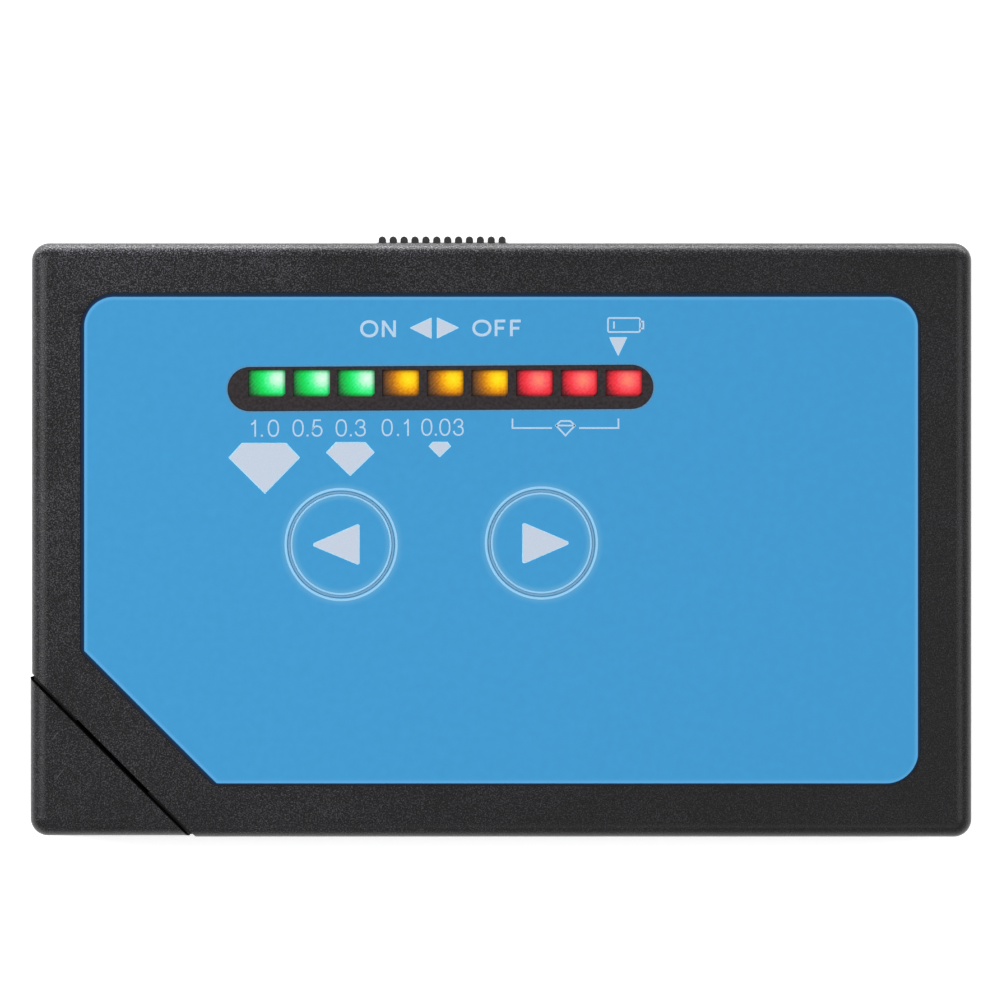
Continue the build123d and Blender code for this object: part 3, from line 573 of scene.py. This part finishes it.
casing = casePlasticMaterial("casePlastic", casePlastic)
nodeMaterials = {node: casing for node in ("front_housing", "rear_housing", "battery_door")}
nodeMaterials["probe_cap"] = casePlasticMaterial("capPlastic", casePlastic, scratches["ends"])
nodeMaterials["face_overlay"] = overlayMaterial("blueFilm", film, keyFace)
for side, centre in zip(("left", "right"), keyFace["centres"]):
    nodeMaterials[side + "_button"] = keyMaterial(side + "KeyFilm", film, keyFace, centre)
for hue in ("green", "amber", "red"):
    nodeMaterials[hue + "_leds"] = lightMaterial(hue + "Light", hue + "_leds", lights[hue])
nodeMaterials["circuit_board"] = boardMaterial("boardMask", board)
for level, raisedRight in (("upper", False), ("lower", True)):
    cell = "battery_cell_" + level
    nodeMaterials[cell] = cellMaterial(level + "CellWrap", cell, raisedRight, wrap)
plainNodes = {
    "knobPlastic": ["power_switch_knob"],
    "smokedStrip": ["window_strip"],
    "holderBlack": ["led_holder", "probe_holder"],
    "holderWhite": ["probe_connector", "power_switch_lever", "left_switch_plunger", "right_switch_plunger"],
    "chipBlack": [
        "microcontroller", "amplifier_chip", "chip_resistors", "buzzer", "left_switch_body",
        "right_switch_body",
    ],
    "drawnCan": ["filter_capacitors"],
    "zincSteel": ["board_screws", "crystal", "power_switch_body", "case_screws"],
    "springSteel": [
        "probe_spring", "positive_terminal", "negative_terminal", "bridge_contact", "contact_springs",
    ],
    "sleeveMetal": ["probe_sleeve", "probe_heater"],
    "tipCopper": ["probe_tip"],
    "leadRed": ["probe_ribbon", "battery_leads"],
}
for finish, nodes in plainNodes.items():
    made = plainMaterial(finish)
    for node in nodes:
        nodeMaterials[node] = made
for node, material in nodeMaterials.items():
    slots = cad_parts[node].data.materials
    if len(slots):
        slots[0] = material
    else:
        slots.append(material)
print("materials on", len(nodeMaterials), "of", len(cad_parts), "nodes")


def addObject(name, data):
    made = bpy.data.objects.new(name, data)
    bpy.context.scene.collection.objects.link(made)
    return made


def meshObject(name, points, faces, material):
    mesh = bpy.data.meshes.new(name)
    mesh.from_pydata(points.tolist(), [], faces)
    mesh.materials.append(material)
    mesh.validate()
    return addObject(name, mesh)


def meshPiece(name, parts, material, body):  # one object from (points, faces) parts
    points = np.concatenate([part[0] for part in parts])
    starts = np.cumsum([0] + [len(part[0]) for part in parts[:-1]])
    faces = [
        tuple((np.array(face) + start).tolist()) for start, part in zip(starts, parts) for face in part[1]
    ]
    piece = meshObject(name, points, faces, material)
    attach(piece, body)
    return piece


def printedPiece(name, parts, finish, body="case"):  # one that lies on the film or at its edge
    meshPiece(name, parts, finish, body)


# Faces of a grid of rows by columns points; a closed direction joins its last line to its first
def gridFaces(rows, columns, closedRows=False, closedColumns=False):
    index = np.arange(rows * columns).reshape(rows, columns)
    if closedRows:
        index = np.vstack([index, index[:1]])
    if closedColumns:
        index = np.hstack([index, index[:, :1]])
    corners = [index[:-1, :-1], index[:-1, 1:], index[1:, 1:], index[1:, :-1]]
    return np.stack([corner.ravel() for corner in corners], axis=1).tolist()


# Outline with rounded corners: at each corner an arc of the given radius, tangent to both sides
def roundedOutline(corners, radius, steps=6):
    corners = np.asarray(corners, float)
    before = np.roll(corners, 1, axis=0) - corners
    after = np.roll(corners, -1, axis=0) - corners
    before /= np.linalg.norm(before, axis=1, keepdims=True)
    after /= np.linalg.norm(after, axis=1, keepdims=True)
    half = np.arccos(np.clip((before * after).sum(1), -1, 1)) / 2
    bisector = before + after
    bisector /= np.linalg.norm(bisector, axis=1, keepdims=True)
    centre = corners + bisector * (radius / np.sin(half))[:, None]
    start = corners + before * (radius / np.tan(half))[:, None] - centre
    end = corners + after * (radius / np.tan(half))[:, None] - centre
    share = np.linspace(0, 1, steps)[None, :, None]
    turn = (np.pi - 2 * half)[:, None, None]
    arc = np.sin((1 - share) * turn) * start[:, None] + np.sin(share * turn) * end[:, None]
    arc = arc / np.sin(turn)
    outline = (centre[:, None] + arc).reshape(-1, 2)
    low, size = outline.min(0), np.ptp(outline, axis=0)  # then stretched back over the box of its corners
    return corners.min(0) + (outline - low) / size * np.ptp(corners, axis=0)


# Ink patch: point(s, t) = middle + spread(s) * (outline(t) - middle) at height(s), where s runs from the
# middle of the top over the edge and back to the middle of the underside, and t runs round the outline
def inkPatch(outline, base, thickness):
    middle = outline.mean(0)
    spread = np.array(ink["patchSpread"])
    height = np.array(ink["patchHeight"]) * thickness + base
    ring = middle + spread[:, None, None] * (outline - middle)[None]
    level = np.broadcast_to(height[:, None, None], (*ring.shape[:2], 1))
    points = np.concatenate([ring, level], axis=2).reshape(-1, 3)
    count = len(outline)
    faces = gridFaces(len(spread), count, closedColumns=True)
    poles = np.array([[*middle, height[0]], [*middle, height[-1]]])
    around = np.arange(count)
    top = np.stack([np.full(count, len(points)), np.roll(around, -1), around], axis=1)
    low = around + (len(spread) - 1) * count
    bottom = np.stack([np.full(count, len(points) + 1), low, np.roll(low, -1)], axis=1)
    return np.concatenate([points, poles]), [face[::-1] for face in faces + top.tolist() + bottom.tolist()]


# Ink line: a flat-topped band of the given width carried along a path; at each point of the path the
# profile stands across the bisector of its two sides
def inkLine(path, width, base, thickness, closed):
    path = np.asarray(path, float)
    forward = np.roll(path, -1, axis=0) - path
    backward = path - np.roll(path, 1, axis=0)
    if not closed:
        forward[-1], backward[0] = backward[-1], forward[0]
    forward /= np.linalg.norm(forward, axis=1, keepdims=True)
    backward /= np.linalg.norm(backward, axis=1, keepdims=True)
    side = np.stack([-(forward + backward)[:, 1], (forward + backward)[:, 0]], axis=1)
    side /= np.linalg.norm(side, axis=1, keepdims=True)
    square = np.stack([-forward[:, 1], forward[:, 0]], axis=1)
    side /= np.clip((side * square).sum(1), ink["sharpest"], 1)[:, None]
    across = np.array(ink["lineAcross"]) * width
    height = np.array(ink["lineHeight"]) * thickness + base
    ring = path[:, None] + across[None, :, None] * side[:, None]
    level = np.broadcast_to(height[None, :, None], (*ring.shape[:2], 1))
    points = np.concatenate([ring, level], axis=2).reshape(-1, 3)
    count = len(across)
    faces = gridFaces(len(path), count, closedRows=closed, closedColumns=True)
    if not closed:
        faces += [range(count)[::-1], range(len(points) - count, len(points))]
    return points, faces


def circle(centre, radius, steps=96):  # centre + radius * (cos(turn), sin(turn))
    turn = np.linspace(0, 2 * np.pi, steps, endpoint=False)
    return np.array([centre[0], centre[1]]) + radius * np.stack([np.cos(turn), np.sin(turn)], axis=1)


# Smooth line through points: on each stretch a cubic whose slope at a point is half the step between its
# neighbours
def smoothLine(points, steps=6):
    points = np.asarray(points, float)
    ends = np.vstack([2 * points[0] - points[1], points, 2 * points[-1] - points[-2]])
    before, start, end, after = ends[:-3], ends[1:-2], ends[2:-1], ends[3:]
    share = np.linspace(0, 1, steps, endpoint=False)[None, :, None]
    curve = 0.5 * (
        2 * start[:, None] + (end - before)[:, None] * share
        + (2 * before - 5 * start + 4 * end - after)[:, None] * share ** 2
        + (3 * start - before - 3 * end + after)[:, None] * share ** 3
    )
    return np.vstack([curve.reshape(-1, 2), points[-1:]])


# Oval in a box one high: middle + half its size * cos(turn) and sin(turn), each raised to the roundness, so
# that its sides are straighter the smaller that is
def oval(width, roundness, steps=40):
    half = np.array([width / 2, 0.5])
    turn = np.linspace(0, 2 * np.pi, steps, endpoint=False)
    wave = np.stack([np.cos(turn), np.sin(turn)], axis=1)
    return half + np.sign(wave) * np.abs(wave) ** roundness * half


# Letters and figures in a box one high: width, whether the strokes are closed, and each stroke's points
curves = {
    "oneFlag": [(0.0, 0.74), (0.11, 0.80), (0.20, 0.89), (0.26, 1.0)],
    "threeTop": [
        (0.03, 0.72), (0.08, 0.87), (0.18, 0.97), (0.30, 1.0), (0.44, 0.97), (0.54, 0.87), (0.56, 0.76),
        (0.52, 0.64), (0.42, 0.56), (0.26, 0.54),
    ],
    "threeLow": [
        (0.26, 0.54), (0.45, 0.52), (0.56, 0.44), (0.60, 0.30), (0.57, 0.14), (0.47, 0.04), (0.31, 0.0),
        (0.16, 0.03), (0.05, 0.13), (0.0, 0.26),
    ],
    "fiveBowl": [
        (0.05, 0.47), (0.17, 0.58), (0.32, 0.62), (0.47, 0.58), (0.57, 0.48), (0.61, 0.32), (0.57, 0.15),
        (0.47, 0.04), (0.32, 0.0), (0.17, 0.02), (0.06, 0.11), (0.0, 0.24),
    ],
}
curves = {name: smoothLine(points) for name, points in curves.items()}
stem = [(0.0, -0.08), (0.0, 1.08)]
glyphs = {
    "0": (0.62, True, [oval(0.62, 0.86)]),
    "1": (0.26, False, [curves["oneFlag"], [(0.26, 1.04), (0.26, -0.04)]]),
    "3": (0.60, False, [curves["threeTop"], curves["threeLow"]]),
    "5": (0.61, False, [np.vstack([[(0.55, 1.0), (0.13, 1.0)], curves["fiveBowl"]])]),
    ".": (0.03, False, [[(0.015, -0.04), (0.015, 0.09)]]),
    "O": (0.98, True, [oval(0.98, 0.95)]),
    "N": (0.72, False, [stem, [(0.04, 1.0), (0.68, 0.0)], [(0.72, 1.08), (0.72, -0.08)]]),
    "F": (0.56, False, [stem, [(0.0, 1.0), (0.56, 1.0)], [(0.0, 0.49), (0.48, 0.49)]]),
}
dotWeight = 1.25  # how much wider than the strokes the point is


# A word: its strokes set side by side, fitted to its box of pixels in the photograph and drawn as ink lines
def wordParts(text, left, right, top, bottom, weight, space):
    half = weight / 2
    corner, far = fromPhoto([left + half, right - half], [bottom - half, top + half])
    wide, high = far - corner
    parts, start = [], 0.0
    stretch = wide / ((sum(glyphs[letter][0] + space for letter in text) - space) * high)
    for letter in text:
        letterWidth, closed, strokes = glyphs[letter]
        width = weight * photo["pixel"] * (dotWeight if letter == "." else 1.0)
        for layer, stroke in enumerate(strokes):  # strokes that cross are laid one over the other
            path = corner + (np.asarray(stroke) + [start, 0.0]) * [high * stretch, high]
            thickness = ink["thickness"] * (1 + ink["layerStep"] * layer)
            parts.append(inkLine(path, width, filmTop, thickness, closed))
        start += letterWidth + space
    return parts


inks = {name: inkMaterial(name, pair) for name, pair in ink["colours"].items()}

# Words and numbers: left, right, top and bottom pixel, width of the strokes in pixels and the space between
# letters as a share of their height
lettering = {
    "ON": (360.1, 396.0, 320.1, 337.4, 2.9, 0.40),
    "OFF": (472.3, 522.2, 319.5, 336.5, 2.9, 0.36),
    "1.0": (250.3, 279.1, 419.6, 436.9, 1.7, 0.41),
    "0.5": (292.4, 322.6, 419.4, 436.7, 1.7, 0.28),
    "0.3": (335.5, 365.8, 419.2, 436.5, 1.7, 0.28),
    "0.1": (381.5, 408.9, 418.9, 436.2, 1.7, 0.37),
    "0.03": (421.2, 463.8, 418.5, 435.9, 1.7, 0.26),
}
letterParts = [part for text, values in lettering.items() for part in wordParts(text, *values)]
printedPiece("printed_lettering", letterParts, inks["inkLettering"])

# Filled marks: corner pixels of each outline, and its corner radius in pixels
marks = {
    "onArrow": ([410.0, 431.7, 431.7], [327.9, 338.6, 317.6], 0.6),
    "offArrow": ([436.8, 458.6, 436.8], [338.4, 327.7, 317.4], 0.6),
    "batteryArrow": ([609.3, 618.2, 627.1], [337.1, 355.7, 337.1], 0.6),
    "largeStone": ([241.9, 228.5, 264.8, 299.9, 286.1], [442.8, 457.5, 493.6, 457.5, 442.8], 0.8),
    "mediumStone": ([335.9, 326.1, 350.2, 374.5, 365.4], [442.0, 452.3, 475.9, 452.3, 442.0], 0.8),
    "smallStone": ([432.7, 428.6, 439.7, 451.0, 447.4], [441.7, 446.2, 457.3, 446.2, 441.7], 0.6),
}
keyMarks = {
    "left": ([313.0, 359.7, 359.7], [544.8, 564.6, 524.1], 2.0),
    "right": ([522.2, 568.7, 522.2], [563.4, 543.0, 523.0], 2.0),
}

markLayers = {
    "edgeWidth": 1.3,  # pixels
    "edgeThickness": 0.7,  # this and the next two are shares of the ink's thickness
    "fillBase": 0.2,
    "fillThickness": 0.8,
}


def filledMark(columns, rows, radius, base):  # pale edge below, filled middle on top of it
    outline = roundedOutline(fromPhoto(columns, rows), radius * photo["pixel"])
    outward = outline - outline.mean(0)
    outward /= np.linalg.norm(outward, axis=1, keepdims=True)
    inner = outline - outward * (markLayers["edgeWidth"] * photo["pixel"])
    edgeThickness, fillBase, fillThickness = (
        ink["thickness"] * markLayers[name] for name in ("edgeThickness", "fillBase", "fillThickness")
    )
    return inkPatch(outline, base, edgeThickness), inkPatch(inner, base + fillBase, fillThickness)


edges, middles = zip(*[filledMark(*mark, filmTop) for mark in marks.values()])
printedPiece("printed_mark_edges", edges, inks["inkEdge"])
printedPiece("printed_marks", middles, inks["inkFill"])
for side, mark in keyMarks.items():
    edge, middle = filledMark(*mark, keyTop)
    printedPiece(side + "_key_mark_edge", [edge], inks["inkEdge"], side + "_key")
    printedPiece(side + "_key_mark", [middle], inks["inkFill"], side + "_key")

# Printed lines: the ring round each key, the bracket with a stone under the red lights and the battery sign
printedLines = {
    "ringRadius": 6.31 * millimetre,
    "ringWidth": 0.27 * millimetre,
    "lineWidth": 0.2 * millimetre,
    "bracketColumns": (512.5, 618.5),
    "bracketRows": (418.5, 428.0),
    "bracketGap": 4.0,  # pixels, from the stone in the middle of it
    "stoneColumns": (556.0, 575.0),
    "stoneRows": (421.0, 425.5, 435.5),  # its top, its widest place and its point
    "batteryColumns": (608.0, 640.0),
    "batteryRows": (318.0, 332.0),
    "batteryCorner": 1.6,  # pixels, the radius
    "batteryInset": 3.4,  # of the bar's ends, and how far the raised end stands out
    "barColumn": 614.0,
}


def bracketPaths():
    left, right = printedLines["bracketColumns"]
    top, bottom = printedLines["bracketRows"]
    stoneLeft, stoneRight = printedLines["stoneColumns"]
    high, wide, low = printedLines["stoneRows"]
    gap, corner = printedLines["bracketGap"], (stoneRight - stoneLeft) / 4
    stone = [stoneLeft + corner, stoneLeft, (stoneLeft + stoneRight) / 2, stoneRight, stoneRight - corner]
    return [
        (fromPhoto([left, left, stoneLeft - gap], [top, bottom, bottom]), False),
        (fromPhoto([stoneRight + gap, right, right], [bottom, bottom, top]), False),
        (fromPhoto(stone, [high, wide, low, wide, high]), True),
        (fromPhoto([stoneLeft, stoneRight], [wide, wide]), False),
    ]


def batteryPaths():
    left, right = printedLines["batteryColumns"]
    top, bottom = printedLines["batteryRows"]
    body = fromPhoto([left, left, right, right], [top, bottom, bottom, top])
    nub, bar, inset = (bottom - top) / 4, printedLines["barColumn"], printedLines["batteryInset"]
    nubRows = [top + nub, top + nub, bottom - nub, bottom - nub]
    return [
        (roundedOutline(body, printedLines["batteryCorner"] * photo["pixel"]), True),
        (fromPhoto([right, right + inset, right + inset, right], nubRows), False),
        (fromPhoto([bar, bar], [top + inset, bottom - inset]), False),
    ]


ringLines = [circle(centre, printedLines["ringRadius"]) for centre in keyFace["centres"]]
rings = [inkLine(path, printedLines["ringWidth"], filmTop, ink["thickness"], True) for path in ringLines]
printedPiece("printed_rings", rings, inks["inkLine"])

# Round each key's rim: a raised pale bead, level on top, and a lower grey-blue collar outside it
keyTrim = {  # radii and heights below the key's top, millimetres
    "bead": ([5.54, 5.54, 5.57, 5.73, 5.76, 5.76], [0.17, 0.0, -0.02, -0.02, 0.0, 0.17]),
    "collar": ([5.79, 5.79, 5.82, 6.03, 6.06, 6.06], [0.58, 0.1, 0.07, 0.07, 0.1, 0.58]),
}


def turnedPart(centre, radii, depths, steps=96):  # a profile turned round the key's centre, at the key's top
    turn = np.linspace(0, 2 * np.pi, steps, endpoint=False)[:, None]
    radii = np.array(radii) * millimetre
    heights = keyTop - np.array(depths) * millimetre
    points = np.stack(np.broadcast_arrays(
        centre[0] + radii * np.cos(turn), centre[1] + radii * np.sin(turn), heights
    ), axis=-1)
    return points.reshape(-1, 3), gridFaces(steps, len(radii), closedRows=True, closedColumns=True)


for side, centre in zip(keyMarks, keyFace["centres"]):
    for trim, finish in (("bead", inks["inkLine"]), ("collar", inks["inkBand"])):
        printedPiece(side + "_key_" + trim, [turnedPart(centre, *keyTrim[trim])], finish, side + "_key")
signs = [
    inkLine(path, printedLines["lineWidth"], filmTop, ink["thickness"], closed)
    for path, closed in bracketPaths() + batteryPaths()
]
printedPiece("printed_signs", signs, inks["inkLettering"])
print("print laid on the film and the keys")

# Dark blue band that fills the gap between the film and its recess, for the film's cut side and painted shade
# in the gap: carried along the film's outline
edging = {  # millimetres
    "gap": (0.01, 0.26),
    "below": 0.04,  # how far it stays under the film's face
    "height": 0.45,
    "colour": (linear(22, 36, 54), linear(28, 44, 66)),
}


def outlineOf(points, steps=720):  # the outermost point in each direction, each point once and in order
    turn = np.linspace(0, 2 * np.pi, steps, endpoint=False)
    picks = (points @ np.stack([np.cos(turn), np.sin(turn)])).argmax(axis=0)
    return points[picks[picks != np.roll(picks, 1)]]


def movedOut(path, distance):  # each side of a closed path moved out by the distance
    sides = np.roll(path, -1, axis=0) - path
    sides /= np.linalg.norm(sides, axis=1, keepdims=True)
    outward = np.stack([sides[:, 1], -sides[:, 0]], axis=1)
    corner = outward + np.roll(outward, 1, axis=0)
    return path + distance * corner / (1 + (outward * np.roll(outward, 1, axis=0)).sum(1))[:, None]


edgingPath = movedOut(outlineOf(filmPoints[:, :2]), sum(edging["gap"]) / 2 * millimetre)
edgingTop = filmTop - edging["below"] * millimetre
edgingPart = inkLine(
    edgingPath, (edging["gap"][1] - edging["gap"][0]) * millimetre,
    edgingTop - edging["height"] * millimetre, edging["height"] * millimetre, True,
)
printedPiece("film_edge_and_gap_shade", [edgingPart], inkMaterial("edgeAndGapShadeBlue", edging["colour"]))

# Rim round the window strip: a pale line of painted highlight with a thin dark one of the film's cut edge and
# painted shadow inside it, both carried along the strip's outline after it is fitted to the edge that the
# photograph shows
windowRim = {  # millimetres; how far each side of the dark edge stands out from the strip
    "left": -0.02,
    "right": 0.07,
    "bottom": 0.05,
    "top": -0.09,
    "lines": {  # middle, width and colours of each
        "window_rim_highlight": (0.1, 0.2, "rimHighlight"),
        "window_rim_edge_and_shadow": (-0.04, 0.1, "rimEdgeAndShadow"),
    },
    # Colours of the painted highlight, and of the cut edge with its painted shadow
    "rimHighlight": (linear(84, 138, 174), linear(96, 150, 188)),
    "rimEdgeAndShadow": (linear(20, 44, 66), linear(28, 52, 74)),
    "below": 0.04,
    "height": 0.05,
}


def rimPath(points, values):  # the outline stretched so that its four sides stand where they should
    outline = outlineOf(points)
    low, high = outline.min(0), outline.max(0)
    newLow = low - np.array([values["left"], values["bottom"]]) * millimetre
    newHigh = high + np.array([values["right"], values["top"]]) * millimetre
    return newLow + (outline - low) / (high - low) * (newHigh - newLow)


rimLine = rimPath(pointsOf("window_strip")[:, :2], windowRim)
for name, (middle, width, finish) in windowRim["lines"].items():
    rimPart = inkLine(
        movedOut(rimLine, middle * millimetre), width * millimetre,
        filmTop - windowRim["below"] * millimetre, windowRim["height"] * millimetre, True,
    )
    printedPiece(name, [rimPart], inkMaterial(finish, windowRim[finish]))

# Dark lip that fills the seam behind the corner cap on both sides of the probe's nose, a dark piece put where
# the seam shows only shade: one rounded profile carried along the seam to where the side of the case or its
# round edge ends
lip = {  # millimetres from the corner of the case, and heights
    "across": (12.84, 13.45),
    "start": 5.75,
    "inset": 0.06,  # from the side of the case, which the lip's outer end follows
    "heights": (0.4, 16.2),
    "round": 0.1,
    "roundSteps": 4,
    "frontRound": 1.8,  # the case's front edge, which the end follows too
    "stations": 12,
}


def lipPart(values, sign):
    (near, far), start, (low, high) = values["across"], values["start"], values["heights"]
    corners = [(near, low), (far, low), (far, high), (near, high)]
    rounded = roundedOutline(corners, values["round"], values["roundSteps"])
    count, stations, radius = len(rounded), values["stations"], values["frontRound"]
    share = np.linspace(0, 1, stations)[:, None]
    across, height = np.broadcast_to(rounded.T[:, None], (2, stations, count))
    rise = np.clip(height - (front / millimetre - radius), 0, radius)
    inset = values["inset"] + radius - np.sqrt(radius ** 2 - rise ** 2)
    along = (start + share * (across - inset * math.sqrt(2) - start)) * sign
    x = cadCorner[0] + (across - along) * slanted * millimetre
    y = cadCorner[1] + (across + along) * slanted * millimetre
    points = np.stack([x, y, height * millimetre], axis=-1).reshape(-1, 3)
    faces = [face[::-sign] for face in gridFaces(stations, count, closedColumns=True)]
    faces += [range(count)[::sign], range(len(points) - count, len(points))[::-sign]]
    return points, faces


lipParts = [lipPart(lip, side) for side in (1, -1)]
# The dark lip stands in for the shade deep in the seam
meshPiece("seam_shade_lip", lipParts, nodeMaterials["probe_holder"], "case")
print("lip set in the seam")

# Spring behind the probe: the coil of the CAD made again. Its centre line is
# axis + along * share * length + radius * (side * cos(turn) + up * sin(turn)), where the turn grows with the
# share, and a circle of the wire's radius, square to that line, is carried along it
coil = {
    "turns": 6,
    "stepsPerTurn": 28,
    "wire": 0.2 * millimetre,  # its radius
    "sides": 12,
    "travel": 1.2 * millimetre,  # of the tip
}


def coilPiece(values):
    along = np.array([1.0, 1.0, 0.0]) * slanted
    side, up = np.array([-1.0, 1.0, 0.0]) * slanted, np.array([0.0, 0.0, 1.0])
    spring = pointsOf("probe_spring")
    sideways, reach, height, wire = spring @ side, spring @ along, spring @ up, values["wire"]
    length = reach.max() - reach.min()
    radius = np.ptp(height) / 2 - wire
    axisLine = (side * sideways.min() + side * sideways.max() + up * (height.min() + height.max())) / 2
    share = np.linspace(0, 1, values["turns"] * values["stepsPerTurn"] + 1)[:, None]
    wound = 2 * np.pi * values["turns"]
    turn = wound * share
    outward = side * np.cos(turn) + up * np.sin(turn)
    centre = axisLine + along * (reach.min() + wire + share * (length - 2 * wire)) + radius * outward
    heading = along * (length - 2 * wire) + radius * wound * (up * np.cos(turn) - side * np.sin(turn))
    heading /= np.linalg.norm(heading, axis=1, keepdims=True)
    across = np.cross(heading, outward)
    angle = np.linspace(0, 2 * np.pi, values["sides"], endpoint=False)[None, :, None]
    points = centre[:, None] + wire * (outward[:, None] * np.cos(angle) + across[:, None] * np.sin(angle))
    points = points.reshape(-1, 3)
    count = values["sides"]
    faces = gridFaces(len(share), count, closedColumns=True)
    faces += [range(count)[::-1], range(len(points) - count, len(points))]
    steel = nodeMaterials["probe_spring"]
    piece = meshPiece("probe_spring_coil", [(points, faces)], steel, "case")
    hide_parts("probe_spring")
    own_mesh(piece)


coilPiece(coil)

# Camera: straight down over the photograph's middle, and far off, as with a long lens
view = {
    "distance": 1.3,  # metres from the face
    "sensor": 36.0,  # millimetres, as Blender takes it
    "middle": (500.0, 500.0),
    "farthest": 5.0,  # metres
}
cameraData = bpy.data.cameras.new("camera")
cameraData.sensor_width = view["sensor"]
cameraData.lens = view["sensor"] * view["distance"] / (photo["width"] * photo["pixel"])
cameraData.clip_end = view["farthest"]
camera = addObject("camera", cameraData)
camera.location = (*fromPhoto(*view["middle"]).tolist(), front + view["distance"])
bpy.context.scene.camera = camera

# Pale floor: white to the camera, it keeps the shadow, and from below it is clear
floorValues = {
    "half": 0.9,  # metres
    "lines": 9,  # of its grid, each way
    "height": -0.05 * millimetre,
    "lift": 0.62,  # how bright it shines by itself for the camera and in reflections
    "surface": {
        "Base Color": (0.8, 0.8, 0.8, 1.0), "Roughness": 0.9, "Specular IOR Level": 0.0,
        "Emission Color": (1.0, 1.0, 1.0, 1.0),
    },
}


def seenDirectly(tree):  # 1 for camera, glossy and transmission rays
    path = addNode(tree, "ShaderNodeLightPath", {}).outputs
    seen = calc(tree, "MAXIMUM", path["Is Camera Ray"], path["Is Glossy Ray"])
    return calc(tree, "MAXIMUM", seen, path["Is Transmission Ray"])


def makeFloor(values):
    material, tree, shader = newMaterial("paleFloor")
    lift = times(tree, seenDirectly(tree), values["lift"])
    fill(tree, shader, {"Emission Strength": lift, **values["surface"]})
    under = addNode(tree, "ShaderNodeNewGeometry", {}).outputs["Backfacing"]
    clear = addNode(tree, "ShaderNodeBsdfTransparent", {}).outputs[0]
    surface = addNode(tree, "ShaderNodeMixShader", {0: under, 1: shader.outputs[0], 2: clear}).outputs[0]
    fill(tree, tree.nodes["Material Output"], {"Surface": surface})
    line = np.linspace(-values["half"], values["half"], values["lines"])
    grid = np.stack(np.meshgrid(line, line), axis=-1).reshape(-1, 2)
    points = np.column_stack([grid, np.full(len(grid), values["height"])])
    floor = meshObject("floor", points, gridFaces(len(line), len(line)), material)
    floor.visible_diffuse = False  # so the underside is lit from below too
    floor.visible_shadow = False


makeFloor(floorValues)

# Light: an even pale room, a tall soft box to the left, a long one behind the upper edge that lies below the
# plane of the face and so lights only the round of that edge, and two weak ones to the right and below
room = {
    "level": 0.47,
    "lamps": {  # place, size and power; each box faces the part, its first side level
        "leftBox": ((-0.42, 0.08, 0.5), (0.14, 0.5), 2.05),
        "topBox": ((0.0, 0.42, -0.03), (1.0, 0.05), 11.0),
        "rightBox": ((0.36, 0.0, 0.56), (0.12, 0.36), 0.8),
        "lowBox": ((0.1, -0.42, 0.52), (0.2, 0.2), 0.3),
    },
}


def makeRoom(values):
    world = bpy.data.worlds.new("room")
    bpy.context.scene.world = world
    world.use_nodes = True
    tree = world.node_tree
    level = addNode(
        tree, "ShaderNodeMapRange", {"Value": seenDirectly(tree), "To Min": values["level"], "To Max": 1.0}
    ).outputs[0]
    fill(tree, tree.nodes["Background"], {"Color": (1.0, 1.0, 1.0, 1.0), "Strength": level})
    for name, (spot, size, power) in values["lamps"].items():
        lamp = bpy.data.lights.new(name, "AREA")
        lamp.shape = "RECTANGLE"
        lamp.size, lamp.size_y = size
        lamp.energy = power
        holder = addObject(name, lamp)
        holder.location = spot
        holder.visible_camera = False
        aim = np.array([0.0, 0.0, front]) - np.array(spot)
        flat = math.hypot(aim[0], aim[1])
        heading = math.atan2(aim[1], aim[0]) - math.pi / 2
        holder.rotation_euler = (math.atan2(flat, -aim[2]), 0.0, heading)


makeRoom(room)
bpy.context.scene.view_settings.view_transform = "Standard"
print("camera, floor and light are in place")
